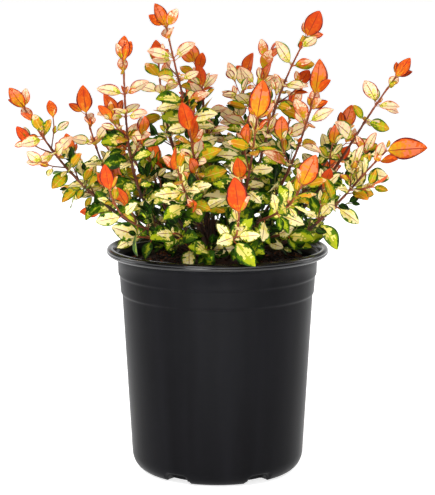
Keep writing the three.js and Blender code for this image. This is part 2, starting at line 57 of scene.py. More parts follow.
# Studio, in metres. Each light has a place, a size, a power, a place that it aims at, and a spread.
SKY_LIGHT = 0.2
HORIZON_LIGHT = 1
HORIZON_BAND = (0.14, 0.3)
FLOOR_REACH = 30
FLOOR_DROP = 0.0002
FLOOR_WHITE = 0.9
FLOOR_ROUGHNESS = 0.95
FLOOR_GLOW = 0.78
MIDDLE = (0, 0, 0.2)
LIGHTS = {
    "key": ((-0.6, -1.3, 1.7), (0.7, 0.7), 20, MIDDLE, 180),
    "front": ((0.2, -1.6, 1.2), (2.4, 0.35), 6, MIDDLE, 180),
    "front_floor": ((0, -0.75, 1.3), (0.3, 0.2), 8, (0, -0.75, 0), 50),
    "rim_right": ((1.2, 0.6, 1.1), (0.6, 1), 10, MIDDLE, 180),
    "rim_left": ((-1.3, 0.5, 1), (0.6, 1), 9, MIDDLE, 180),
}

# Pot, in millimetres
POT_HEIGHT = 171
RIM_RADIUS = 84
RIM_INSIDE = 79.6
LIP_DEPTH = 5.5
LIP_DEGREES = range(-90, 91, 6)
LIP_GROOVE = 0.5
LIP_GROOVE_AT = 6
LIP_GROOVE_WIDTH = 12
HIGH_COLLAR = 75.8
LOW_COLLAR = 74.2
STEP_HEIGHTS = (137, 151)
STEP_IN = 1.1
STEP_SLOPE = 1.6
BODY_TOP = 72.4
BODY_FOOT = 65.6
FOOT_RADIUS = 55
CORNER_HEIGHT = 14
CORNER_STEPS = 9
WALL = 1.6
POT_FLOOR = 3
EDGE_ROUND = 1.2
EDGE_LIMIT = 0.45
EDGE_STEPS = 5
COLLAR_DROP = 3
INSIDE_CORNER = (12, 10)
FOOT_RING_RADIUS = 44
NOTCH_COUNT = 6
NOTCH_HEIGHT = 8
NOTCH_WIDTH = 16
NOTCH_SLOPE = 2.5
NOTCH_FROM = 50
UNDERSIDE_RADII = (0, 20, 40, 46, 48.6, NOTCH_FROM, 52.5)
POT_SEGMENTS = 240
RIM_FINISH_FROM = 164

# Soil and its bark chips. Each of the soil's bumps has a height, a scale and a layer of the noise.
SOIL_TOP = POT_HEIGHT - 10
SOIL_EDGE = BODY_TOP - WALL
SOIL_EDGE_DROP = 2.5
SOIL_FLAT = 45
SOIL_BUMPS = ((1, 0.09, 3.1), (0.7, 0.3, 7.7))
SOIL_INTO_WALL = 1.2
SOIL_FOOT = (4, 8)
SOIL_SHOULDER = (1.5, 25)
SOIL_RINGS = 44
SOIL_SEGMENTS = 144
CLEARANCE = 0.3
CHIP_COUNT = 1500
CHIP_RADIUS = SOIL_EDGE - 2
CHIP_PLACES = (0.02, 1)
CHIP_SIZES = ((1.5, 6.5), (0.9, 2.4), (0.4, 1.3))
CHIP_TILT = (-0.5, 0.5)
CHIP_ROLL = (-0.6, 0.6)
CHIP_RISE = (-0.1, 0.5)
CHIP_RAGGED = ((0.7, 1), (0.5, 1))

# Crown
CROWN_RADIUS = 27
CROWN_HEIGHT = 5
CROWN_SUNK = 2
CROWN_DOME_DROP = 0.6
CROWN_DOME_FROM = 1
CROWN_ROUND = 0.6
CROWN_STEPS = 17
CROWN_SEGMENTS = 72
CROWN_BUMP = 1.4
CROWN_BUMP_SCALE = (0.16, 0.2)
FOOT_RISE = 8.5
FOOT_SHARE = 0.2
SKIRT_RISE = 7
SKIRT_RADIUS = 31
STUB_ROOT_SHARE = 0.72
STUB_ROOT_DEPTH = 3.4
STUB_FLARE = 1.35

# Random numbers: the seed, where the stream of each kind of growth starts, and how a stream goes on
SEED = 11
STREAMS = {"shoot": 1000, "twig": 2000, "small pair": 2500, "inner": 3000, "outer": 3100, "bud": 3500,
           "look": 4000, "chip": 5000}
SKIRT_STREAM = 500
ROUND_STREAM = 100
STREAM_SIZE = 2 ** 32
STREAM_SPREAD = 2654435761
STREAM_START = 12345
STREAM_FACTOR = 1664525
STREAM_STEP = 1013904223
STREAM_WARM_UP = 6

# Limbs
TIP_RADIUS = 0.65
TWIG_RADII = (0.7, 0.5)
SPRIG_RADII = (0.56, 0.4)
HANDLE_SHARE = 0.4
SIDEWAYS_FROM = 0.9
PATH_STEPS = 40
TWIG_STEPS = 10
STEM_MESH = (8, 1.2)
TWIG_MESH = (6, 1.5)
SPRIG_MESH = (5, 2.5)
STUB_MESH = (10, 0.8)
FEWEST_RINGS = 4
BARK_RELIEF = 0.3
RIDGE_SCALE = (0.25, 0.25, 0.35)
RIDGE_ROUND = 2.2
NODE_SWELLING = 0.24
NODE_LENGTH = 1
NODE_REACH = 4

# Leaf pairs along a shoot, from its tip down
PAIR_TURN = 78
PAIR_TURN_STRAY = (-14, 14)
FIRST_PAIR_BACK = 0.8
FIRST_GAP = 8
GAP_GROWTH = 2.6
LAST_GAP = 17
GAP_STRAY = (0.9, 1.1)
YOUNG_PAIRS = 3
OLD_SPREAD = 60
YOUNG_CLOSING = 30
SPREAD_STRAY = (-6, 6)
LEAF_TURN_STRAY = (-10, 10)
LEAF_SPREAD_STRAY = (-8, 8)
GROWN_SIZE = 0.98
YOUNG_SHRINK = 0.32
SIZE_PER_PAIR = 0.015
SIZE_PAIRS = 4
SIZE_STRAY = (0.82, 1.2)
SMALL_LEAF_CHANCE = 0.18
SMALL_LEAF_SIZE = 0.62
DROOP_PER_PAIR = 0.09
DROOP_PAIRS = 5
DROOP_STRAY = (-0.08, 0.18)
SKIRT_DROOP = 0.4

# What a limb has where nothing else is said
PLAIN_GROWTH = {"order": 0, "droop": 0, "sag": 0, "twigs": 0, "on_twig": False, "inner": False}

# Top leaves, and how far the one of a shoot sags, where it does
TOP_SPREAD = (2, 14)
TOP_SIZE = (0.95, 1.08)
TOP_PETIOLE = 1
TOP_SAG = {"low_right": 0.6}

# Leaves: most of those nearer than FRONT_DEPTH turn their face to the front, and the others to the back
PETIOLE = (2.5, 4.5)
LEAF_WIDTH = (0.5, 0.6)
FRONT_DEPTH = 30
FRONT_CHANCE = 0.82
BACK_CHANCE = 0.2
FACE_UPPER = 0.45
FACE_STRAY = 0.35
SHORTEST_LEAF = 11.5

# Side twigs
TWIG_FROM_PAIR = 3
TWIG_CHANCE = 0.55
TWIG_LEAF_SIZE = 0.85
TWIG_BARE = 9
TWIG_TURN_STRAY = (-20, 20)
TWIG_REACH = (16, 30)
REACH_SHARE = 0.5
TWIG_LEAN = (35, 50)
TWIG_ALONG = 0.6
TWIG_RISE = 0.2
TWIG_BEND = 0.3
TWIG_ORDER = 0.6

# Room between shoots, and between leaves and pot
LEAF_GAP = 4.8
TWIG_GAP = 5
TWIG_FOOT_STEPS = 3
SOIL_GAP = 2.5
SAMPLE_ROWS = 7
SAMPLE_ACROSS = (-1, -0.4, 0.4, 1)
SAMPLE_WIDTH = 0.425
SAMPLE_SHIFT = 0.85
SOIL_MARGIN = 8
RIM_MARGIN = 6
BELOW_RIM = 25

# Finer growth that only the looks have: small leaf pairs, sprigs, which are short twigs, and buds
FINE_GAP = 1.3
OWN_GAP = 1
OWN_GAP_FROM = 5
FINE_FROM = (0.08, 0.2, 0.34)
FINE_LEAF = 0.82
FINE_TURN = 50
FINE_BARE = 0.45
FINE_ABOVE = 206
SPRIG_SETS = {
    "outer": {"counts": {"far_left": 8, "left_inner": 9, "side_left": 4, "tulip": 2, "centre_back": 2,
                         "centre_far": 2, "side_right": 4, "back_middle": 1, "low_right": 7,
                         "right_far": 1, "right_tall": 1},
              "places": (0.42, 0.86), "reach": (11, 24), "leaf": (12, 15.5)},
    # The inner sprigs carry leaves of the inner style, which is dark with painted shade.
    "inner": {"counts": {"main": 8, "low": 6, "skirt": 3},
              "places": (0.1, 0.62), "reach": (8, 19), "leaf": (8.5, 12.5)},
}
SPRIG_BARE = 2
SPRIG_DROOP = 0.1
SPRIG_ORDER = 500
SPRIG_LEAVES = 2
OUTWARD_RISE = 0.7
BUD_CHANCE = 0.5
BUD_ALONG = (0.2, 0.7)
BUD_UP = (0.4, 1)
BUD_STRAY = (-0.4, 0.4)
BUD_LENGTH = (3.2, 6.5)
BUD_WIDTH = (0.38, 0.52)
BUD_STALK = 0.6
BUD_AGE = 0.4

# Where each shoot's tip stands (x, y and height over the rim), the angles over the ground at which it
# leaves its foot and reaches its tip, the lengths of its top leaf and its other leaves, the turn of its
# top pair, the share of its length without leaves, and how many side twigs it may grow.
SHOOT_KEYS = ("name", "x", "y", "over", "leave", "arrive", "top", "leaf", "turn", "bare", "twigs")
MAIN_SHOOTS = (
    ("far_left", -143, -15, 106, 27, 60, 18, 18, 0, 0.34, 1),
    ("left_inner", -99, 5, 100, 8, 74, 20, 18, 20, 0.36, 3),
    ("left_tall", -69, -25, 141, 21, 88, 19, 18, 0, 0.34, 2),
    ("tulip", -45, 35, 135, 70, 86, 18, 19, 50, 0.34, 2),
    ("tallest", -38, 0, 165, 88, 78, 18, 18, 0, 0.34, 1),
    ("centre_back", -17, 45, 135, 88, 58, 17, 18, 0, 0.34, 1),
    ("centre_far", 22, 80, 122, 65, 62, 20, 19, 30, 0.34, 2),
    ("right_far", 37, 55, 137, 66, 54, 18, 20, 10, 0.34, 1),
    ("right_tall", 67, 15, 157, 70, 60, 20, 19, 0, 0.34, 3),
    ("right_mid", 72, -20, 117, 50, 74, 26, 19, 20, 0.34, 2),
    ("far_right", 134, 10, 127, 31, 53, 17, 18, 10, 0.38, 2),
    ("low_right", 123, -45, 78, 8, 45, 28, 19, 0, 0.38, 2),
    ("front_tall", 28, -70, 104, 46, 75, 28, 20, 0, 0.36, 2),
    ("front_left", -20, -60, 94, 61, 66, 21, 20, 30, 0.36, 1),
    ("back_left", -80, 85, 90, 40, 65, 19, 18, 10, 0.36, 2),
    ("back_middle", -20, 110, 100, 50, 65, 20, 18, 0, 0.36, 2),
    ("back_right", 60, 100, 95, 45, 65, 20, 18, 30, 0.36, 2),
    ("side_left", -112, 55, 62, 25, 60, 19, 18, 0, 0.38, 2),
    ("side_right", 98, 60, 82, 30, 60, 19, 18, 0, 0.38, 2),
)
LOW_SHOOTS = (
    ("inner_left", -54, 20, 73, 25, 75, 15, 17, 60, 0.3, 1),
    ("front_1", -28, -95, 71, 57, 54, 26, 19, 0, 0.3, 1),
    ("front_2", -77, -75, 53, 42, 73, 18, 18, 30, 0.3, 1),
    ("front_3", 59, -100, 60, 60, 54, 26, 19, 0, 0.3, 1),
    ("front_4", 15, -110, 42, 50, 75, 25, 19, 0, 0.3, 0),
    ("rear_1", -50, 112, 48, 45, 65, 20, 18, 0, 0.3, 1),
    ("rear_2", 20, 125, 45, 45, 65, 20, 18, 0, 0.3, 1),
    ("rear_3", 88, 92, 42, 40, 65, 20, 18, 0, 0.3, 1),
)
SKIRT_AZIMUTHS = (213, 238, 264, 289, 313, 351, 18, 68, 96, 125)
SKIRT_LEAF = 20
SKIRT_BARE = 0.2
SKIRT_TURN_STRAY = (-3, 3)
SKIRT_REACH = (60, 74)
SKIRT_OVER = (6, 20)
SKIRT_LEAVE = (35, 50)
SKIRT_ARRIVE = (-5, 20)
FOOT_RADII = {"main": 1.5, "low": 1.15, "skirt": 0.95}

UP = np.array([0.0, 0.0, 1.0])
SIDEWAYS = np.array([1.0, 0.0, 0.0])
FACE_FRONT = np.array([0.0, -1.0, 0.35])
FACE_BACK = np.array([0.0, 1.0, 0.35])

# How a leaf blade bends, as shares of its length where it isn't an angle or an age
FOLD = (0.1, 0.32)
CURL = (0.02, 0.1)
CURL_PER_AGE = 0.028
CURL_AGES = 7
RIPPLE = (0.008, 0.026)
RIPPLE_WAVES = 7
BLADE_SKEW = 0.9
BLADE_ROUND = 0.74
BLADE_HALF = 0.555
NARROWEST_HALF = 0.28
FINE_BLADE_FROM = 12
SKIRT_FACE_RISE = 0.5
SKIRT_WIDER = 1.12

# How the faces of a blade lie, and how its colours stray
VEIN_SLANT = 0.34
VEINS = 10
VEIN_SHADE = 0.045
VEIN_STRAY = (-0.09, 0.09)
TONE_STRAY = (-0.1, 0.1)
TONE_ACROSS = 0.12
EDGE_REACH = (0.7, 1.3)
EDGE_RAG = (-0.06, 0.06)
MOTTLE = (-0.6, 0.6)
LAST_SHARE = 0.999
CELL_STRAY = 0.36

# Leaf stalks
STALK_RADII = (0.42, 0.34, 0.3)
STALK_SIDES = 5
STALK_SAG = 0.15
STALK_SUNK = 0.4
GREEN_STALK_FROM = 4

# Plain colours, as red, green and blue from 0 to 255
LEAF_COLOURS = {
    "scarlet": (198, 66, 18),
    "coral": (204, 84, 18),
    "tangerine": (210, 100, 22),
    "orange": (212, 122, 26),
    "amber": (200, 136, 26),
    "peach": (224, 116, 76),
    "salmon": (230, 142, 100),
    "pink": (245, 190, 154),
    "rose_edge": (140, 44, 34),
    "wine_edge": (104, 28, 26),
    "blush": (251, 226, 188),
    "cream": (252, 236, 178),
    "pale_yellow": (243, 226, 124),
    "yellow_green": (172, 180, 28),
    "gold": (200, 150, 20),
    "olive": (122, 124, 16),
    "leaf_green": (84, 118, 10),
    "mid_green": (54, 90, 12),
    "dark_green": (30, 60, 8),
    # A near-black green: painted shade for leaves deep inside the crown.
    "deep_green": (17, 34, 5),
    "rib_deep": (150, 46, 28),
    "rib_red": (146, 66, 40),
    "rib_gold": (204, 112, 34),
    "rib_pale": (222, 184, 84),
    "rib_green": (160, 172, 50),
}
STEM_COLOURS = {
    "maroon_bark": (100, 50, 32),
    "red_stem": (136, 68, 40),
    "orange_stem": (172, 94, 46),
    "green_stem": (104, 108, 42),
}
CHIP_COLOURS = {
    "chip_black": (26, 18, 14),
    "chip_brown": (52, 33, 23),
    "chip_bark": (84, 50, 32),
    "chip_orange": (134, 78, 46),
}

# Materials of one colour: the start of their names, the colours, the roughness and the specular level
PLAIN_LOOKS = (
    ("leaf_", LEAF_COLOURS, 0.48, 0.07),
    ("stem_", STEM_COLOURS, 0.6, 0.25),
    ("", CHIP_COLOURS, 0.85, 0.25),
    ("", {"rim_plastic": (4, 4, 6)}, 0.18, 0.42),
)

# Materials with a grain. A grain has a scale, a detail and a stretch along the axes. Colours, and a
# roughness in steps, run between places in it. The bumps have a strength and a depth in metres.
GRAINED_LOOKS = {
    "soil": {"specular": 0.5, "roughness": 0.95, "grain": (420, 5), "bump_grain": (420, 5),
             "colours": ((0.3, (18, 12, 9)), (0.7, (58, 37, 26))), "bump": (0.9, 0.0015)},
    "old_bark": {"specular": 0.5, "roughness": 0.85, "grain": (500, 4, (1, 1, 0.3)),
                 "bump_grain": (500, 4, (1, 1, 0.3)),
                 "colours": ((0.3, (36, 22, 16)), (0.7, (84, 50, 34))), "bump": (0.8, 0.0008)},
    "black_plastic": {"specular": 0.04, "roughness": ((0.25, 0.28), (0.8, 0.4)),
                      "grain": (60, 3, (1, 1, 0.06)), "bump_grain": (900, 2),
                      "colours": ((0.3, (15, 15, 17)), (0.75, (23, 23, 26))), "bump": (0.12, 0.0004)},
}

# How each style of leaf is coloured: its outline, the colours of its margin, how much of the half width
# the margin takes and how far that strays from vein to vein, the band inside it, the colours of its body
# from root to tip, and its midrib.
STYLE_KEYS = ("line", "edge", "edge_share", "edge_stray", "band", "band_share", "body", "rib")
STYLE_ROWS = (
    ("coral", "wine_edge rose_edge", "scarlet coral", 0.1, 0.08, "coral", 0.3,
     "gold orange coral tangerine coral scarlet coral", "rib_deep"),
    ("ember", "wine_edge rose_edge", "scarlet scarlet rose_edge", 0.12, 0.1, "scarlet", 0.3,
     "orange coral scarlet coral scarlet scarlet", "rib_deep"),
    ("peach", "wine_edge rose_edge", "coral scarlet peach", 0.12, 0.1, "coral", 0.2,
     "gold amber orange peach peach coral", "rib_deep"),
    ("salmon", "rose_edge coral", "coral salmon pink", 0.16, 0.26, "salmon", 0.14,
     "yellow_green gold amber salmon blush pink blush", "rib_gold"),
    ("blush", "rose_edge coral leaf_green", "coral pink salmon olive", 0.1, 0.14, "pink", 0.16,
     "yellow_green pale_yellow blush cream blush pink", "rib_red"),
    ("gold", "mid_green olive rose_edge", "mid_green leaf_green olive", 0.18, 0.18, "yellow_green", 0.14,
     "olive gold gold gold amber orange pink", "rib_pale"),
    ("lime", "mid_green olive", "mid_green leaf_green", 0.2, 0.2, "olive", 0.14,
     "leaf_green yellow_green gold yellow_green gold amber", "rib_pale"),
    ("cream", "leaf_green mid_green olive", "dark_green mid_green leaf_green", 0.21, 0.3, "pale_yellow", 0.12,
     "pale_yellow cream pale_yellow cream cream cream", "rib_red"),
    ("feathered", "dark_green mid_green", "mid_green leaf_green dark_green", 0.34, 0.24, "leaf_green", 0.12,
     "yellow_green pale_yellow pale_yellow yellow_green yellow_green", "rib_green"),
    ("green", "dark_green", "dark_green mid_green", 0.55, 0.22, "leaf_green", 0.2,
     "leaf_green yellow_green yellow_green leaf_green", "rib_green"),
    # The inner style: plain green leaves, made darker with painted shade because they sit deep in the crown.
    ("inner", "deep_green", "deep_green dark_green", 0.6, 0.24, "deep_green", 0.3,
     "dark_green mid_green", "mid_green"),
)
LEAF_STYLES = {name: dict(zip(STYLE_KEYS, look)) for name, *look in STYLE_ROWS}

# The styles that leaves take by age in pairs from the tip: each row is the oldest age that it is for
# and the styles with the running sum of their chances.
STYLE_CHANCES = (
    (0.5, {"coral": 0.3, "ember": 0.4, "peach": 0.66, "salmon": 0.88, "gold": 1}),
    (1.6, {"coral": 0.08, "salmon": 0.4, "gold": 0.58, "blush": 0.9, "lime": 1}),
    (3.2, {"coral": 0.02, "salmon": 0.14, "gold": 0.3, "lime": 0.4, "blush": 1}),
    (4.8, {"salmon": 0.04, "gold": 0.12, "lime": 0.22, "blush": 0.6, "feathered": 0.7, "cream": 1}),
    (7.5, {"gold": 0.02, "lime": 0.1, "cream": 0.6, "feathered": 0.82, "green": 1}),
    (99, {"cream": 0.32, "feathered": 0.7, "green": 1}),
)
TOP_CHANCES = {"coral": 0.45, "ember": 0.65, "peach": 1}
SKIRT_CHANCES = {"cream": 0.2, "feathered": 0.64, "green": 1}
# Inner leaves mostly take the inner style, which is dark with painted shade.
INNER_CHANCES = {"inner": 0.8, "green": 0.94, "feathered": 1}
CHIP_CHANCES = {"chip_black": 0.35, "chip_brown": 0.75, "chip_bark": 0.93, "chip_orange": 1}
AGE_HEIGHT = 240
AGE_PER_HEIGHT = 0.08
TWIG_AGE = 2.2
SKIRT_AGE = 8
LOW_TIP = 182
LEFT_SIDE = -40
LEFT_CREAM = 0.4
BLUSH_FROM = 238

# The colours of a limb from its foot to its tip, each with the share of the length at which it ends
STEM_BANDS = {"old_bark": 0.42, "maroon_bark": 0.8, "red_stem": 1}
TWIG_BANDS = {"maroon_bark": 0.5, "red_stem": 1}
INNER_BANDS = {"maroon_bark": 0.5, "green_stem": 1}
STUB_BANDS = {"old_bark": 1}

# The styles of leaf joined into each piece, its slot, and the shoots whose foliage it replaces
LEAF_PIECES = {
    "young_leaves": (("coral", "ember", "peach", "salmon", "gold"), "young_leaf", ("main",)),
    "cream_leaves": (("lime", "blush", "cream"), "cream_leaf", ("low",)),
    "green_leaves": (("feathered", "green"), "green_leaf", ("skirt",)),
    # Inner leaves, whose dark green is partly painted shade.
    "inner_shaded_leaves": (("inner",), "green_leaf", ("main", "low", "skirt")),
}


# Directions and numbers

def unit(vector):
    return vector / math.sqrt(float(vector @ vector))


def square_to(direction, vector):
    """The direction nearest to a vector that is square to another direction."""
    return unit(vector - direction * float(direction @ vector))


def between(first, second, angle):
    """The direction at an angle from one direction towards another that is square to it."""
    return first * math.cos(angle) + second * math.sin(angle)


def polar(radius, azimuth):
    return radius * math.cos(azimuth), radius * math.sin(azimuth)


def random_stream(kind, index=0):
    """A repeatable stream of numbers, as the solids have."""
    state = ((SEED * STREAMS[kind] + index) * STREAM_SPREAD + STREAM_START) % STREAM_SIZE

    def draw(low=0.0, high=1.0):
        nonlocal state
        state = (state * STREAM_FACTOR + STREAM_STEP) % STREAM_SIZE
        return low + (high - low) * state / STREAM_SIZE

    for _ in range(STREAM_WARM_UP):
        draw()
    return draw


def under_limit(limits, value):
    """The first name whose limit is over a value, or else the last name."""
    for name, limit in limits.items():
        if value < limit:
            break
    return name


# Limbs

class Limb:
    """A smooth limb between two points, given by its directions at both ends."""

    def __init__(self, start, end, leave, arrive, steps):
        chord = end - start
        handle = HANDLE_SHARE * math.sqrt(float(chord @ chord))
        t = np.linspace(0.0, 1.0, steps + 1)[:, None]
        first = start + leave * handle
        last = end - arrive * handle
        self.points = ((1 - t) ** 3 * start + 3 * (1 - t) ** 2 * t * first
                       + 3 * (1 - t) * t ** 2 * last + t ** 3 * end)
        lengths = np.linalg.norm(np.diff(self.points, axis=0), axis=1)
        self.distances = np.concatenate([[0.0], np.cumsum(lengths)])
        self.length = float(self.distances[-1])
        self.reference = SIDEWAYS if abs(unit(chord)[0]) < SIDEWAYS_FROM else UP

    def at(self, distance):
        """The point at a distance from the foot, and the limb's direction there."""
        i = int(np.searchsorted(self.distances, distance, side="left"))
        i = min(max(i, 1), len(self.points) - 1)
        before, after = self.points[i - 1], self.points[i]
        share = (distance - self.distances[i - 1]) / (self.distances[i] - self.distances[i - 1])
        return before + (after - before) * share, unit(after - before)

    def frame(self, along):
        """Two directions square to the limb."""
        across = square_to(along, self.reference)
        return across, np.cross(across, along)


def foot_of(shoot, outward):
    if shoot["kind"] == "skirt":
        return outward * SKIRT_RADIUS + UP * (SOIL_TOP + SKIRT_RISE)
    return np.array([shoot["x"] * FOOT_SHARE, shoot["y"] * FOOT_SHARE, SOIL_TOP + FOOT_RISE])


def shoot_limb(shoot):
    outward = unit(np.array([shoot["x"], shoot["y"], 0.0], float))
    tip = np.array([shoot["x"], shoot["y"], POT_HEIGHT + shoot["over"]], float)
    leave, arrive = [between(outward, UP, math.radians(shoot[end])) for end in ("leave", "arrive")]
    return Limb(foot_of(shoot, outward), tip, leave, arrive, PATH_STEPS)


def skirt_shoot(azimuth, index):
    draw = random_stream("shoot", SKIRT_STREAM + index)
    turned_to = math.radians(azimuth + draw(*SKIRT_TURN_STRAY))
    x, y = polar(draw(*SKIRT_REACH), turned_to)
    return {"kind": "skirt", "name": f"skirt_{index + 1}", "x": x, "y": y, "over": draw(*SKIRT_OVER),
            "leave": draw(*SKIRT_LEAVE), "arrive": draw(*SKIRT_ARRIVE), "top": SKIRT_LEAF,
            "leaf": SKIRT_LEAF, "turn": 90 * (index % 2), "bare": SKIRT_BARE, "twigs": 0}


def all_shoots():
    shoots = []
    for kind, rows in (("main", MAIN_SHOOTS), ("low", LOW_SHOOTS)):
        shoots += [{"kind": kind, **dict(zip(SHOOT_KEYS, row))} for row in rows]
    shoots += [skirt_shoot(azimuth, index) for index, azimuth in enumerate(SKIRT_AZIMUTHS)]
    for shoot in shoots:
        shoot["limb"] = shoot_limb(shoot)
        shoot["foot_radius"] = FOOT_RADII[shoot["kind"]]
    return shoots


# Growth

def outside_light(base, rise, front_depth):
    """Where the light comes from for a leaf that faces out of the crown."""
    light = unit(np.array([base[0], base[1], 0.0])) + UP * rise
    return light + FACE_FRONT if base[1] < front_depth else light


def grow_leaf(base, along, axes, turn, spread, length, droop, draw, faces_out=False):
    """A leaf that spreads from its limb, sags, and turns its face to the light."""
    outward = between(*axes, math.radians(turn))
    lean = math.radians(spread)
    direction = unit(between(along, outward, lean) - UP * droop)
    front = draw() < (FRONT_CHANCE if base[1] < FRONT_DEPTH else BACK_CHANCE)
    upper = between(-outward, along, lean)
    stray = np.array([draw(-1, 1), draw(-1, 1), draw(-1, 1)])
    light = FACE_FRONT if front else FACE_BACK
    if faces_out:
        light = outside_light(base, OUTWARD_RISE, FRONT_DEPTH)
    normal = square_to(direction, upper * FACE_UPPER + light + stray * FACE_STRAY)
    petiole = draw(*PETIOLE)
    width = length * draw(*LEAF_WIDTH)
    return {"base": base, "direction": direction, "normal": normal, "length": length,
            "petiole": petiole, "width": width}


def grow_leaves(limb, size, draw):
    """The leaf pairs from the tip of a limb down to where it is bare, and the twigs among them."""
    marks = {key: size[key] for key in ("shoot", "on_twig", "inner")}
    faces_out = size["inner"]
    tip, along = limb.at(limb.length)
    turn, spread = draw(0, 360), draw(*TOP_SPREAD)
    length = size["top"] * draw(*TOP_SIZE)
    top = grow_leaf(tip, along, limb.frame(along), turn, spread, length, size["sag"], draw, faces_out)
    top["petiole"] = TOP_PETIOLE
    leaves = [{**top, **marks, "order": size["order"], "pair": 0, "is_top": True}]
    twigs = []
    pair = 0
    back = FIRST_PAIR_BACK
    while back < size["leafy"]:
        point, along = limb.at(limb.length - back)
        axes = limb.frame(along)
        order = size["order"] + back
        young = max(0.0, 1 - pair / YOUNG_PAIRS)
        pair_spread = OLD_SPREAD - YOUNG_CLOSING * young + draw(*SPREAD_STRAY)
        turn = size["turn"] + PAIR_TURN * pair + draw(*PAIR_TURN_STRAY)
        grown = GROWN_SIZE - YOUNG_SHRINK * young + SIZE_PER_PAIR * min(pair, SIZE_PAIRS)
        for side in (0, 180):
            length = size["leaf"] * grown * draw(*SIZE_STRAY)
            if draw() < SMALL_LEAF_CHANCE:
                length *= SMALL_LEAF_SIZE
            droop = size["droop"] + DROOP_PER_PAIR * min(pair, DROOP_PAIRS) + draw(*DROOP_STRAY)
            leaf_turn = turn + side + draw(*LEAF_TURN_STRAY)
            spread = pair_spread + draw(*LEAF_SPREAD_STRAY)
            leaf = grow_leaf(point, along, axes, leaf_turn, spread, length, droop, draw, faces_out)
            leaves.append({**leaf, **marks, "order": order, "pair": pair, "is_top": False})
        if draw() < TWIG_CHANCE and len(twigs) < size["twigs"] and pair >= TWIG_FROM_PAIR:
            twig = grow_twig(point, along, axes, turn, TWIG_REACH, back, draw)
            twigs.append({**twig, "shoot": size["shoot"], "order": order})
        pair += 1
        back += min(FIRST_GAP + GAP_GROWTH * pair, LAST_GAP) * draw(*GAP_STRAY)
    return leaves, twigs


def grow_twig(base, along, axes, pair_turn, reaches, back, draw):
    """A side twig out of the axil of a leaf. It is short near the tip of its shoot."""
    side = 0 if draw() < 0.5 else 180
    outward = between(*axes, math.radians(pair_turn + side + draw(*TWIG_TURN_STRAY)))
    reach = min(draw(*reaches), REACH_SHARE * back)
    leave = unit(between(along, outward, math.radians(draw(*TWIG_LEAN))))
    arrive = unit(leave + along * TWIG_ALONG + UP * TWIG_RISE)
    end = base + unit(leave + arrive * TWIG_BEND) * reach
    return {"limb": Limb(base, end, leave, arrive, TWIG_STEPS), "turn": draw(0, 180)}


def twig_growth(twig, leaf, bare, **others):
    """What a twig has: leaves of one length, down to its bare foot."""
    return {**PLAIN_GROWTH, "shoot": twig["shoot"], "top": leaf, "leaf": leaf, "turn": twig["turn"],
            "on_twig": True, "leafy": twig["limb"].length - bare, **others}


def leaf_tip(leaf):
    return leaf["base"] + leaf["direction"] * (leaf["petiole"] + leaf["length"])


def leaf_points(leaf):
    """Points spread over a leaf, to measure its gaps to other leaves and limbs."""
    side = np.cross(leaf["direction"], leaf["normal"])
    points = [leaf["base"] + leaf["direction"] * leaf["petiole"] * 0.5]
    for row in range(SAMPLE_ROWS):
        share = (row + 0.5) / SAMPLE_ROWS
        middle = leaf["base"] + leaf["direction"] * (leaf["petiole"] + share * leaf["length"])
        half = SAMPLE_WIDTH * leaf["width"] * math.sin(math.pi * share ** SAMPLE_SHIFT)
        points += [middle + side * half * across for across in SAMPLE_ACROSS]
    points.append(leaf_tip(leaf))
    return np.array(points)


def nearest(points, others):
    """The least distance between two sets of points."""
    gaps = points[:, None, :] - others[None, :, :]
    return math.sqrt(float((gaps ** 2).sum(axis=2).min()))


def clear_of_pot(points):
    """True where the points stay over the soil and off the pot."""
    radius = np.hypot(points[:, 0], points[:, 1])
    height = points[:, 2]
    inside = radius < RIM_RADIUS + RIM_MARGIN
    in_soil = (radius < RIM_RADIUS + SOIL_MARGIN) & (height < SOIL_TOP + SOIL_GAP)
    on_rim = (radius > RIM_INSIDE - SOIL_MARGIN) & inside & (height < POT_HEIGHT + SOIL_GAP)
    below = ~inside & (height <= POT_HEIGHT - BELOW_RIM)
    return not (in_soil | on_rim | below).any()


def clear_of_limbs(points, shoot_index, limbs, gap):
    others = [limb.points for index, limb in limbs if index != shoot_index]
    return nearest(points, np.concatenate(others)) >= gap


def clear_of_leaves(leaf, points, kept, gap, own_gap):
    """True where a leaf stays off those kept. Its own shoot's count only with an own gap."""
    for other in kept:
        own = other["shoot"] == leaf["shoot"]
        apart = math.dist(other["middle"], points[len(points) // 2])
        if (own and not own_gap) or apart >= other["length"] + leaf["length"] + gap:
            continue
        first = OWN_GAP_FROM if own else 0
        if nearest(points[first:], other["points"][first:]) < (own_gap if own else gap):
            return False
    return True


def keep_leaves(leaves, limbs, gap, kept, own_gap=0.0):
    """Adds the leaves that have room to those kept, and returns the others."""
    left_out = []
    for leaf in sorted(leaves, key=lambda grown: grown["order"]):
        points = leaf_points(leaf)
        if (clear_of_pot(points) and clear_of_limbs(points, leaf["shoot"], limbs, gap)
                and clear_of_leaves(leaf, points, kept, gap, own_gap)):
            kept.append({**leaf, "points": points, "middle": points[len(points) // 2]})
        else:
            left_out.append(leaf)
    return left_out


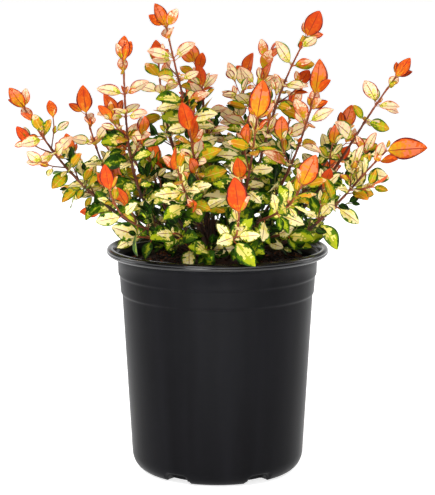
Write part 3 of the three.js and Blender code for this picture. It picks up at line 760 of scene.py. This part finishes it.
def grow_plant(shoots):
    """Every limb and leaf of the solids, then the leaves that only the looks have room for."""
    limbs = [(index, shoot["limb"]) for index, shoot in enumerate(shoots)]
    leaves = []
    twigs = []
    for index, shoot in enumerate(shoots):
        size = {**PLAIN_GROWTH, **shoot, "shoot": index,
                "leafy": shoot["limb"].length * (1 - shoot["bare"]),
                "droop": SKIRT_DROOP if shoot["kind"] == "skirt" else 0.0,
                "sag": TOP_SAG.get(shoot["name"], 0.0)}
        grown, side_twigs = grow_leaves(shoot["limb"], size, random_stream("shoot", index))
        leaves += grown
        twigs += side_twigs
    kept_twigs = []
    for index, twig in enumerate(twigs):
        if not clear_of_limbs(twig["limb"].points[TWIG_FOOT_STEPS:], twig["shoot"], limbs, TWIG_GAP):
            continue
        kept_twigs.append(twig)
        limbs.append((twig["shoot"], twig["limb"]))
        leaf = shoots[twig["shoot"]]["leaf"] * TWIG_LEAF_SIZE
        size = twig_growth(twig, leaf, TWIG_BARE, order=twig["order"] * TWIG_ORDER)
        leaves += grow_leaves(twig["limb"], size, random_stream("twig", index))[0]
    kept = []
    small = [leaf for leaf in leaves if leaf["length"] < SHORTEST_LEAF]
    others = [leaf for leaf in leaves if leaf["length"] >= SHORTEST_LEAF]
    keep_leaves(keep_leaves(others, limbs, LEAF_GAP, kept) + small, limbs, FINE_GAP, kept)
    for index, shoot in enumerate(shoots):
        if shoot["kind"] != "skirt":
            grow_small_pairs(shoot, index, limbs, kept)
    sprigs = grow_sprigs("outer", shoots, limbs, kept)
    sprigs += grow_sprigs("inner", shoots, limbs, kept)
    return kept + grow_buds(kept), kept_twigs, sprigs


def grow_small_pairs(shoot, index, limbs, kept):
    """Smaller leaf pairs among the others on a shoot, some way down from its tip."""
    length = shoot["limb"].length
    size = {**shoot, **PLAIN_GROWTH, "shoot": index, "leaf": shoot["leaf"] * FINE_LEAF,
            "leafy": length * (1 - shoot["bare"] * FINE_BARE)}
    for round_index, from_share in enumerate(FINE_FROM):
        draw = random_stream("small pair", index + ROUND_STREAM * round_index)
        size["turn"] += FINE_TURN
        leaves, _ = grow_leaves(shoot["limb"], size, draw)
        lower = [leaf for leaf in leaves
                 if leaf["order"] > from_share * length and leaf["base"][2] > FINE_ABOVE]
        keep_leaves(lower, limbs, FINE_GAP, kept, OWN_GAP)


def grow_sprigs(set_name, shoots, limbs, kept):
    """One set of sprigs with small leaves along the shoots, where there is room."""
    sprig_set = SPRIG_SETS[set_name]
    counts = sprig_set["counts"]
    is_inner = set_name == "inner"
    sprigs = []
    for index, shoot in enumerate(shoots):
        draw = random_stream(set_name, index)
        limb = shoot["limb"]
        for _ in range(counts.get(shoot["name"], counts.get(shoot["kind"], 0))):
            point, along = limb.at(limb.length * draw(*sprig_set["places"]))
            turn = draw(0, 360)
            twig = grow_twig(point, along, limb.frame(along), turn, sprig_set["reach"], math.inf, draw)
            twig.update(shoot=index, inner=is_inner)
            end_part = twig["limb"].points[TWIG_FOOT_STEPS:]
            if not (clear_of_pot(end_part) and clear_of_limbs(end_part, index, limbs, FINE_GAP)):
                continue
            size = twig_growth(twig, draw(*sprig_set["leaf"]), SPRIG_BARE, order=SPRIG_ORDER,
                               droop=SPRIG_DROOP, inner=is_inner)
            leaves, _ = grow_leaves(twig["limb"], size, draw)
            leaves[0]["is_top"] = is_inner
            before = len(kept)
            keep_leaves(leaves, limbs + [(index, twig["limb"])], FINE_GAP, kept, OWN_GAP)
            if len(kept) - before < SPRIG_LEAVES and not is_inner:
                del kept[before:]
                continue
            limbs.append((index, twig["limb"]))
            sprigs.append(twig)
    return sprigs


def grow_buds(kept):
    """Tiny young leaves in the axils of grown ones."""
    buds = []
    draw = random_stream("bud")
    for leaf in kept:
        if leaf["is_top"] or leaf["inner"] or draw() > BUD_CHANCE:
            continue
        direction = unit(leaf["direction"] * draw(*BUD_ALONG) + UP * draw(*BUD_UP))
        face = leaf["normal"] + UP * draw(*BUD_STRAY)
        normal = square_to(direction, face + SIDEWAYS * draw(*BUD_STRAY))
        length = draw(*BUD_LENGTH)
        buds.append({**leaf, "direction": direction, "normal": normal, "length": length,
                     "petiole": BUD_STALK, "width": length * draw(*BUD_WIDTH),
                     "pair": leaf["pair"] * BUD_AGE})
    return buds


# Meshes

def add_object(name, data, place=(0, 0, 0)):
    thing = bpy.data.objects.new(name, data)
    thing.location = place
    bpy.context.scene.collection.objects.link(thing)
    return thing


class Builder:
    """Gathers the shapes of a joined piece, with a colour for each face."""

    def __init__(self):
        self.vertices = []
        self.faces = []
        self.colours = []
        self.count = 0

    def add(self, vertices, faces, colours):
        """Adds a shape in millimetres, with one colour or one for each face."""
        self.vertices.append(np.asarray(vertices, float))
        self.faces += [[corner + self.count for corner in face] for face in faces]
        self.colours += [colours] * len(faces) if isinstance(colours, str) else list(colours)
        self.count += len(vertices)

    def piece(self, name, slot, *replaced):
        """The joined piece, in place of the solids that it replaces. The slot is not used."""
        mesh = bpy.data.meshes.new(name)
        mesh.from_pydata((np.concatenate(self.vertices) * MM).tolist(), [], self.faces)
        used = sorted(set(self.colours))
        for colour in used:
            mesh.materials.append(material_of(colour))
        mesh.polygons.foreach_set("material_index", [used.index(colour) for colour in self.colours])
        mesh.polygons.foreach_set("use_smooth", [True] * len(self.faces))
        mesh.update()
        piece = add_object(name, mesh)
        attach(piece, "root")
        if replaced:
            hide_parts(*replaced)
        return piece


def ring_faces(rings, count):
    """The faces between rings of vertices, with the same count in each ring."""
    faces = []
    for low in range(0, (rings - 1) * count, count):
        for i in range(count):
            after = (i + 1) % count
            faces.append([low + i, low + count + i, low + count + after, low + after])
    return faces


def tube(points, radii, sides, axes_of, relief=0.0):
    """A closed tube through points. Relief is how far its ridges stand out, as a share of its radius."""
    vertices = []
    for i, (point, radius) in enumerate(zip(points, radii)):
        along = unit(points[min(i + 1, len(points) - 1)] - points[max(i - 1, 0)])
        axes = axes_of(along)
        for side in range(sides):
            out = between(*axes, 2 * math.pi * side / sides)
            ridge = 1.0
            if relief:
                ridge += relief * noise.noise(Vector(point * RIDGE_SCALE + out * RIDGE_ROUND))
            vertices.append(point + out * radius * ridge)
    faces = ring_faces(len(points), sides)
    faces.append(list(range(sides)))
    faces.append([(len(points) - 1) * sides + side for side in reversed(range(sides))])
    return vertices, faces


def turned(outline, segments, lift):
    """An outline turned round the Z axis. Lift gives each point's height from its place in it."""
    vertices = []
    for radius, height in outline:
        for i in range(segments):
            azimuth = 2 * math.pi * i / segments
            vertices.append((*polar(radius, azimuth), lift(radius, azimuth, height)))
    return vertices, [[a, d, c, b] for a, b, c, d in ring_faces(len(outline), segments)]


def weld(piece):
    """Merges the points on the axis of a turned shape."""
    mesh = bmesh.new()
    mesh.from_mesh(piece.data)
    bmesh.ops.remove_doubles(mesh, verts=mesh.verts, dist=WELD_GAP)
    mesh.to_mesh(piece.data)
    mesh.free()


# Leaves

class BladeGrid:
    """A leaf blade's places across and along, how far each may stray, and its faces and their places."""

    def __init__(self, rows, half_columns):
        columns = [-place for place in reversed(half_columns)] + list(half_columns)
        self.across = np.tile(columns, (rows, 1))
        share = np.linspace(0.0, 1.0, rows + 1)[:-1, None]
        self.along = share + VEIN_SLANT * np.abs(self.across) * share * (1 - share)
        gaps = np.diff(columns)
        room = np.concatenate([[0.0], np.minimum(gaps[:-1], gaps[1:]), [0.0]])
        free = (room > 0) & (np.abs(columns) > half_columns[0]) & (share > 0)
        self.stray_across = CELL_STRAY * free * room
        self.stray_along = CELL_STRAY * free / rows
        self.faces = []
        self.cells = []
        count = len(columns)
        for row in range(rows):
            for column in range(count - 1):
                corner = row * count + column
                face = [corner, corner + 1, corner + count + 1, corner + count]
                self.faces.append(face if row < rows - 1 else [corner, corner + 1, rows * count])
                middle = (columns[column] + columns[column + 1]) / 2
                self.cells.append((row, (row + 0.5) / rows, middle, column in (0, count - 2)))


FINE_BLADE = BladeGrid(16, (0.05, 0.22, 0.4, 0.57, 0.72, 0.85, 1.0))
COARSE_BLADE = BladeGrid(9, (0.07, 0.36, 0.66, 1.0))
CELL_STREAM = np.random.default_rng(SEED)


def blade_vertices(leaf, grid, age, draw):
    """The places of a pointed oval that is folded along its midrib, with its tip curling over."""
    direction, normal = leaf["direction"], leaf["normal"]
    side = np.cross(direction, normal)
    fold = draw(*FOLD)
    curl = draw(CURL[0], CURL[1] + CURL_PER_AGE * min(age, CURL_AGES)) * leaf["length"]
    wave = draw(0, 2 * math.pi)
    ripple = draw(*RIPPLE) * leaf["length"]
    stray = CELL_STREAM.uniform(-1.0, 1.0, (2, *grid.across.shape))
    place = grid.across + stray[0] * grid.stray_across
    along = grid.along + stray[1] * grid.stray_along
    outline = np.sin(np.pi * along ** BLADE_SKEW) ** BLADE_ROUND
    half = np.maximum(outline * leaf["width"] * BLADE_HALF, NARROWEST_HALF)
    across = place * half
    waves = ripple * place ** 2 * np.sin(RIPPLE_WAVES * along + wave + np.sign(place))
    lift = fold * np.abs(across) - curl * along ** 2 + waves
    start = leaf["base"] + direction * leaf["petiole"]
    reach = along * leaf["length"]
    places = start + reach[..., None] * direction + across[..., None] * side + lift[..., None] * normal
    tip = start + direction * leaf["length"] - normal * curl
    return np.concatenate([places.reshape(-1, 3), tip[None, :]])


def pick(draw, choices):
    return choices[min(int(draw() * len(choices)), len(choices) - 1)]


def blade_colours(style, grid, draw):
    """A colour for each face: a margin that varies from vein to vein, a band in it, and the body."""
    look = LEAF_STYLES[style]
    body = look["body"].split()
    reach = draw(*EDGE_REACH)
    tone = draw(*TONE_STRAY)
    line = pick(draw, look["line"].split())
    veins = []
    for _ in range(2 * VEINS):
        edge_share = look["edge_share"] * reach + draw(-1, 1) * look["edge_stray"]
        edge = pick(draw, look["edge"].split())
        veins.append((edge_share, edge, tone + draw(*VEIN_STRAY)))
    colours = []
    for row, share, place, is_outermost in grid.cells:
        across = abs(place)
        edge_share, edge, shift = veins[(VEINS if place > 0 else 0) + int(share * VEINS)]
        shade = VEIN_SHADE if row % 2 else -VEIN_SHADE
        shifted = min(max(share + shift + shade + TONE_ACROSS * across, 0.0), LAST_SHARE)
        if place == 0:
            colours.append(look["rib"])
        elif is_outermost:
            colours.append(line)
        else:
            ragged = across + draw(*EDGE_RAG)
            mottled = int(shifted * len(body) + draw(*MOTTLE))
            if ragged > 1 - edge_share:
                colours.append(edge)
            elif ragged > 1 - edge_share - look["band_share"]:
                colours.append(look["band"])
            else:
                colours.append(body[min(max(mottled, 0), len(body) - 1)])
    return colours


def age_of(leaf, kind):
    """The age of a leaf in pairs from the tip. Low leaves are older."""
    age = leaf["pair"] + max(0.0, AGE_HEIGHT - leaf["base"][2]) * AGE_PER_HEIGHT
    if kind == "skirt" or leaf_tip(leaf)[2] < LOW_TIP:
        return age + SKIRT_AGE
    if leaf["is_top"] or leaf["pair"] == 0:
        age = leaf["pair"]
    return age + (TWIG_AGE if leaf["on_twig"] else 0.0)


def style_of(leaf, age, draw):
    """Young leaves at the tips are coral, older ones cream and green, and the innermost dark green, made
    darker still with painted shade.
    """
    if leaf["inner"]:
        return under_limit(INNER_CHANCES, draw())
    if age >= SKIRT_AGE:
        return under_limit(SKIRT_CHANCES, draw())
    if leaf["is_top"]:
        return under_limit(TOP_CHANCES, draw())
    chances = next(chances for oldest, chances in STYLE_CHANCES if age <= oldest)
    style = under_limit(chances, draw())
    if style == "cream" and leaf["base"][0] < LEFT_SIDE and draw() > LEFT_CREAM:
        return "feathered" if draw() < 0.5 else "lime"
    if style == "blush" and leaf["base"][2] < BLUSH_FROM:
        return "cream"
    return style


def facing_out(leaf):
    """The leaf a little wider, and turned on its stalk so that its face shows from outside."""
    normal = square_to(leaf["direction"], outside_light(leaf["base"], SKIRT_FACE_RISE, 0.0))
    return {**leaf, "normal": normal, "width": leaf["width"] * SKIRT_WIDER}


def build_leaves(leaves, shoots, builders):
    pieces = {style: name for name, (styles, *_) in LEAF_PIECES.items() for style in styles}
    draw = random_stream("look")
    for leaf in leaves:
        kind = shoots[leaf["shoot"]]["kind"]
        age = age_of(leaf, kind)
        if kind == "skirt":
            leaf = facing_out(leaf)
        style = style_of(leaf, age, draw)
        grid = FINE_BLADE if leaf["length"] >= FINE_BLADE_FROM and not leaf["inner"] else COARSE_BLADE
        vertices = blade_vertices(leaf, grid, age, draw)
        builders[pieces[style]].add(vertices, grid.faces, blade_colours(style, grid, draw))


# Stems and leaf stalks

def stem_radii(limb, foot_radius, tip_radius, distances, nodes):
    """A taper with a slight swelling at each leaf pair."""
    swelling = np.zeros(len(distances))
    for node in nodes:
        swelling = np.maximum(swelling, NODE_SWELLING * np.exp(-((distances - node) / NODE_LENGTH) ** 2))
    return foot_radius + (tip_radius - foot_radius) * distances / limb.length + swelling


def node_places(limb, leaves):
    """How far along a limb its leaf pairs stand."""
    places = []
    for leaf in leaves:
        gap = np.linalg.norm(limb.points - leaf["base"], axis=1)
        if gap.min() < NODE_REACH:
            places.append(float(limb.distances[int(gap.argmin())]))
    return places


def build_stem(builder, limb, radii, nodes, mesh, bands):
    """A ridged limb, from its radii at foot and tip, the places of its leaf pairs and its mesh."""
    sides, step = mesh
    count = max(int(limb.length / step), FEWEST_RINGS)
    distances = np.linspace(0, limb.length, count + 1)
    points = [limb.at(float(distance))[0] for distance in distances]
    vertices, faces = tube(points, stem_radii(limb, *radii, distances, nodes), sides, limb.frame, BARK_RELIEF)
    shares = [min(ring // sides, count) / count for ring in range(len(faces))]
    builder.add(vertices, faces, [under_limit(bands, share) for share in shares])


def build_stems(shoots, twigs, sprigs, leaves, builder):
    for index, shoot in enumerate(shoots):
        nodes = node_places(shoot["limb"], [leaf for leaf in leaves if leaf["shoot"] == index])
        radii = (shoot["foot_radius"], TIP_RADIUS)
        build_stem(builder, shoot["limb"], radii, nodes, STEM_MESH, STEM_BANDS)
    for twig in twigs:
        build_stem(builder, twig["limb"], TWIG_RADII, [], TWIG_MESH, TWIG_BANDS)
    for twig in sprigs:
        bands = INNER_BANDS if twig["inner"] else TWIG_BANDS
        build_stem(builder, twig["limb"], SPRIG_RADII, [], SPRIG_MESH, bands)


def build_stalks(leaves, builder):
    """Leaf stalks, from the middle of the limb to the root of the blade."""
    for leaf in leaves:
        end = leaf["base"] + leaf["direction"] * (leaf["petiole"] + STALK_SUNK)
        middle = (leaf["base"] + end) / 2 - UP * STALK_SAG
        axes = (np.cross(leaf["direction"], leaf["normal"]), leaf["normal"])
        vertices, faces = tube([leaf["base"], middle, end], STALK_RADII, STALK_SIDES, lambda along: axes)
        is_green = leaf["inner"] or leaf["pair"] > GREEN_STALK_FROM
        builder.add(vertices, faces, "green_stem" if is_green else "orange_stem")


# Pot

def rounded(corners):
    """An outline with each inner corner replaced by a short curve."""
    corners = [np.array(corner, float) for corner in corners]
    outline = [corners[0]]
    for before, corner, after in zip(corners, corners[1:], corners[2:]):
        back, ahead = before - corner, after - corner
        start = corner + unit(back) * min(EDGE_ROUND, float(np.linalg.norm(back)) * EDGE_LIMIT)
        end = corner + unit(ahead) * min(EDGE_ROUND, float(np.linalg.norm(ahead)) * EDGE_LIMIT)
        for i in range(EDGE_STEPS + 1):
            t = i / EDGE_STEPS
            outline.append((1 - t) ** 2 * start + 2 * t * (1 - t) * corner + t ** 2 * end)
    outline.append(corners[-1])
    return outline


def pot_outline():
    """The pot's section from its underside, up the wall, over the lip and down inside."""
    lower, upper = STEP_HEIGHTS
    under = POT_HEIGHT - LIP_DEPTH
    foot = [(radius, 0.0) for radius in UNDERSIDE_RADII]
    corner = []
    for i in range(CORNER_STEPS + 1):
        angle = math.pi / 2 * i / CORNER_STEPS
        corner.append((FOOT_RADIUS + (BODY_FOOT - FOOT_RADIUS) * math.sin(angle),
                       CORNER_HEIGHT * (1 - math.cos(angle))))
    wall = [corner[-1], (BODY_TOP, lower - STEP_SLOPE), (BODY_TOP + STEP_IN, lower),
            (LOW_COLLAR, upper - STEP_SLOPE), (LOW_COLLAR + STEP_IN, upper),
            (HIGH_COLLAR, under)]
    roll = LIP_DEPTH / 2
    lip = []
    for degrees in LIP_DEGREES:
        angle = math.radians(degrees)
        groove = LIP_GROOVE * math.exp(-((degrees - LIP_GROOVE_AT) / LIP_GROOVE_WIDTH) ** 2)
        lip.append((RIM_RADIUS - roll + (roll - groove) * math.cos(angle),
                    POT_HEIGHT - roll + (roll - groove) * math.sin(angle)))
    inner_corner, ring_top = INSIDE_CORNER
    inside = [(RIM_INSIDE, POT_HEIGHT), (RIM_INSIDE - WALL, under),
              (HIGH_COLLAR - WALL, under - COLLAR_DROP), (BODY_TOP - WALL, lower),
              (BODY_FOOT - WALL, inner_corner), (FOOT_RING_RADIUS, ring_top),
              (FOOT_RING_RADIUS, POT_FLOOR), (0.0, POT_FLOOR)]
    return foot + corner[:-1] + rounded(wall) + lip[1:] + rounded(inside)


def notch_lift(radius, azimuth, height):
    """How high the drain notches push up a point of the foot."""
    if radius < NOTCH_FROM or height > NOTCH_HEIGHT:
        return height
    step = 2 * math.pi / NOTCH_COUNT
    across = abs((azimuth + step / 2) % step - step / 2) * radius
    into = (NOTCH_WIDTH / 2 + NOTCH_SLOPE - across) / NOTCH_SLOPE
    return max(height, NOTCH_HEIGHT * min(max(into, 0.0), 1.0))


def build_pot():
    builder = Builder()
    vertices, faces = turned(pot_outline(), POT_SEGMENTS, notch_lift)
    lowest = [min(vertices[corner][2] for corner in face) for face in faces]
    finishes = ["rim_plastic" if low > RIM_FINISH_FROM else "black_plastic" for low in lowest]
    builder.add(vertices, faces, finishes)
    weld(builder.piece("nursery_pot", "pot", "pot"))


# Soil

def soil_height(x, y):
    """The soil's bumpy top, which falls off towards the pot's wall."""
    out = (math.hypot(x, y) - SOIL_FLAT) / (SOIL_EDGE - SOIL_FLAT)
    bumps = sum(height * noise.noise(Vector((x * scale, y * scale, layer)))
                for height, scale, layer in SOIL_BUMPS)
    return SOIL_TOP - SOIL_EDGE_DROP * max(0.0, out) + bumps


def soil_lift(radius, azimuth, height):
    return soil_height(*polar(radius, azimuth)) if height == SOIL_TOP else height


def build_soil():
    edge = SOIL_EDGE + SOIL_INTO_WALL
    foot_in, foot_up = SOIL_FOOT
    shoulder_in, shoulder_down = SOIL_SHOULDER
    bottom = POT_FLOOR + CLEARANCE
    outline = [(0.0, bottom), (BODY_FOOT - foot_in, bottom + foot_up),
               (edge - shoulder_in, SOIL_TOP - shoulder_down)]
    outline += [(edge * (1 - i / SOIL_RINGS), SOIL_TOP) for i in range(SOIL_RINGS + 1)]
    builder = Builder()
    builder.add(*turned(outline, SOIL_SEGMENTS, soil_lift), "soil")
    weld(builder.piece("potting_mix", "soil", "soil"))


def build_chips():
    """Bark chips that lie in the soil at all angles."""
    builder = Builder()
    draw = random_stream("chip")
    faces = [[3, 2, 1, 0], [4, 5, 6, 7]] + [[i, (i + 1) % 4, (i + 1) % 4 + 4, i + 4] for i in range(4)]
    for _ in range(CHIP_COUNT):
        radius = CHIP_RADIUS * math.sqrt(draw(*CHIP_PLACES))
        x, y = polar(radius, draw(0, 2 * math.pi))
        length, width, depth = [draw(*limits) for limits in CHIP_SIZES]
        level = np.array([*polar(1.0, draw(0, 2 * math.pi)), 0.0])
        along = between(level, UP, draw(*CHIP_TILT))
        side = between(unit(np.cross(UP, along)), UP, draw(*CHIP_ROLL))
        up = np.cross(along, side)
        centre = np.array([x, y, soil_height(x, y) + draw(*CHIP_RISE)])
        corners = []
        for sign_up in (-1, 1):
            for sign_along, sign_side in ((-1, -1), (1, -1), (1, 1), (-1, 1)):
                reach = sign_along * length / 2 * draw(*CHIP_RAGGED[0])
                across = sign_side * width / 2 * draw(*CHIP_RAGGED[1])
                corners.append(centre + along * reach + side * across + up * sign_up * depth / 2)
        builder.add(corners, faces, under_limit(CHIP_CHANCES, draw()))
    piece = builder.piece("bark_chips", "soil")
    piece.data.polygons.foreach_set("use_smooth", [False] * len(piece.data.polygons))


# Crown

def crown_lift(radius, azimuth, height):
    """The crown's height with its bumps, which its part in the soil hasn't."""
    if height < SOIL_TOP:
        return height
    x, y = polar(radius, azimuth)
    across, up = CROWN_BUMP_SCALE
    return height + noise.noise(Vector((x * across, y * across, height * up))) * CROWN_BUMP


def stub_limb(shoot):
    """The short flared foot that joins a shoot to the crown."""
    limb = shoot["limb"]
    end = limb.points[0]
    root = np.array([end[0], end[1], 0.0]) * STUB_ROOT_SHARE
    root[2] = SOIL_TOP + CLEARANCE + CROWN_HEIGHT - STUB_ROOT_DEPTH
    return Limb(root, end, UP, limb.at(0.0)[1], TWIG_STEPS)


def build_crown(shoots):
    """A low dome on the soil, and the feet of the shoots on it."""
    low = SOIL_TOP - CROWN_DOME_FROM
    top = SOIL_TOP + CROWN_HEIGHT - CROWN_DOME_DROP
    outline = [(0.0, SOIL_TOP - CROWN_SUNK), (CROWN_RADIUS, SOIL_TOP - CROWN_SUNK)]
    for i in range(CROWN_STEPS + 1):
        angle = math.pi / 2 * i / CROWN_STEPS
        rise = (top - low) * math.sin(angle) ** CROWN_ROUND
        outline.append((CROWN_RADIUS * math.cos(angle), low + rise))
    builder = Builder()
    builder.add(*turned(outline, CROWN_SEGMENTS, crown_lift), "old_bark")
    for shoot in shoots:
        radii = (shoot["foot_radius"] * STUB_FLARE, shoot["foot_radius"])
        build_stem(builder, stub_limb(shoot), radii, [], STUB_MESH, STUB_BANDS)
    weld(builder.piece("crown_bark", "old_stem", "crown"))


# Materials

def linear(colour):
    """A colour of 0 to 255 as the linear values that a shader takes."""
    values = [channel / 255 for channel in colour]
    return tuple([v / 12.92 if v <= 0.04045 else ((v + 0.055) / 1.055) ** 2.4 for v in values] + [1.0])


def grey(value):
    return (value, value, value, 1.0)


def principled(name, roughness, specular=0.5):
    """A new material and its main shader."""
    material = bpy.data.materials.new(name)
    material.use_nodes = True
    shader = material.node_tree.nodes["Principled BSDF"]
    shader.inputs["Roughness"].default_value = roughness
    shader.inputs["Specular IOR Level"].default_value = specular
    return material, shader


@functools.cache
def material_of(name):
    """The material of a name in the tables, made once."""
    for start, colours, roughness, specular in PLAIN_LOOKS:
        if name in colours:
            material, shader = principled(start + name, roughness, specular)
            shader.inputs["Base Color"].default_value = linear(colours[name])
            return material
    return grained_material(name, **GRAINED_LOOKS[name])


def add_node(tree, kind, **inputs):
    """A new node of a shader, with each input set to a value or linked to an output."""
    node = tree.nodes.new("ShaderNode" + kind)
    for name, value in inputs.items():
        if isinstance(value, bpy.types.NodeSocket):
            tree.links.new(value, node.inputs[name])
        else:
            node.inputs[name].default_value = value
    return node


def noise_value(tree, scale, detail, stretch=(1, 1, 1)):
    """The value of a noise texture in object space, stretched along the axes."""
    place = add_node(tree, "TexCoord").outputs["Object"]
    stretched = add_node(tree, "Mapping", Vector=place, Scale=stretch).outputs["Vector"]
    return add_node(tree, "TexNoise", Vector=stretched, Scale=scale, Detail=detail).outputs["Fac"]


def add_ramp(tree, value, stops, target):
    """Runs a value through a colour ramp of (place, colour) stops into a socket."""
    ramp = add_node(tree, "ValToRGB", Fac=value)
    for element, (place, colour) in zip(ramp.color_ramp.elements, stops):
        element.position = place
        element.color = colour
    tree.links.new(ramp.outputs["Color"], target)


def add_bump(tree, value, shader, strength, distance):
    bump = add_node(tree, "Bump", Height=value, Strength=strength, Distance=distance)
    tree.links.new(bump.outputs["Normal"], shader.inputs["Normal"])


def grained_material(name, specular, roughness, grain, colours, bump_grain, bump):
    """A material whose colour follows a grain, and so does its roughness where that has steps."""
    levels = roughness if isinstance(roughness, tuple) else ()
    material, shader = principled(name, levels[-1][1] if levels else roughness, specular)
    tree = material.node_tree
    value = noise_value(tree, *grain)
    stops = [(place, linear(colour)) for place, colour in colours]
    add_ramp(tree, value, stops, shader.inputs["Base Color"])
    if levels:
        add_ramp(tree, value, [(place, grey(level)) for place, level in levels], shader.inputs["Roughness"])
    add_bump(tree, noise_value(tree, *bump_grain), shader, *bump)
    return material


# Studio

def build_floor():
    mesh = bpy.data.meshes.new("floor")
    corners = [(x * FLOOR_REACH, y * FLOOR_REACH, 0) for x, y in ((-1, -1), (1, -1), (1, 1), (-1, 1))]
    mesh.from_pydata(corners, [], [(0, 1, 2, 3)])
    material, shader = principled("pale_floor", FLOOR_ROUGHNESS)
    shader.inputs["Base Color"].default_value = grey(FLOOR_WHITE)
    shader.inputs["Emission Color"].default_value = grey(1.0)
    shader.inputs["Emission Strength"].default_value = FLOOR_GLOW
    mesh.materials.append(material)
    floor = add_object("floor", mesh, (0, 0, -FLOOR_DROP))


def area_light(name, place, size, power, aim, spread):
    data = bpy.data.lights.new(name, "AREA")
    data.spread = math.radians(spread)
    data.shape = "RECTANGLE"
    data.size, data.size_y = size
    data.energy = power
    light = add_object(name, data, place)
    light.rotation_euler = (Vector(aim) - Vector(place)).to_track_quat("-Z", "Y").to_euler()


def build_studio():
    """A sky that is bright at the horizon, the lights and the floor."""
    scene = bpy.context.scene
    world = bpy.data.worlds.new("studio")
    world.use_nodes = True
    tree = world.node_tree
    place = add_node(tree, "TexCoord").outputs["Generated"]
    height = add_node(tree, "SeparateXYZ", Vector=place).outputs["Z"]
    near, far = HORIZON_BAND
    stops = [(near, grey(HORIZON_LIGHT)), (far, grey(SKY_LIGHT))]
    add_ramp(tree, height, stops, tree.nodes["Background"].inputs["Color"])
    scene.world = world
    scene.view_settings.view_transform = "Standard"
    for name, light in LIGHTS.items():
        area_light(name, *light)
    build_floor()


def build_camera():
    data = bpy.data.cameras.new("camera")
    data.lens = CAMERA_LENS
    data.sensor_width = SENSOR_WIDTH
    camera = add_object("camera", data, CAMERA_PLACE)
    camera.rotation_euler = (math.radians(90 - CAMERA_DOWN), 0, 0)
    bpy.context.scene.camera = camera


# The whole plant

def build_plant():
    shoots = all_shoots()
    leaves, twigs, sprigs = grow_plant(shoots)
    builders = {name: Builder() for name in (*LEAF_PIECES, "stems", "leaf_stalks")}
    build_leaves(leaves, shoots, builders)
    build_stems(shoots, twigs, sprigs, leaves, builders["stems"])
    build_stalks(leaves, builders["leaf_stalks"])
    for name, (_, slot, kinds) in LEAF_PIECES.items():
        replaced = [f"foliage_{shoot['name']}" for shoot in shoots if shoot["kind"] in kinds]
        builders[name].piece(name, slot, *replaced)
    stems = [f"stem_{shoot['name']}" for shoot in shoots if shoot["kind"] == "main"]
    builders["stems"].piece("stems", "young_stem", *stems)
    builders["leaf_stalks"].piece("leaf_stalks", "young_stem")
    build_crown(shoots)


build_camera()
build_studio()
build_pot()
build_soil()
build_chips()
build_plant()
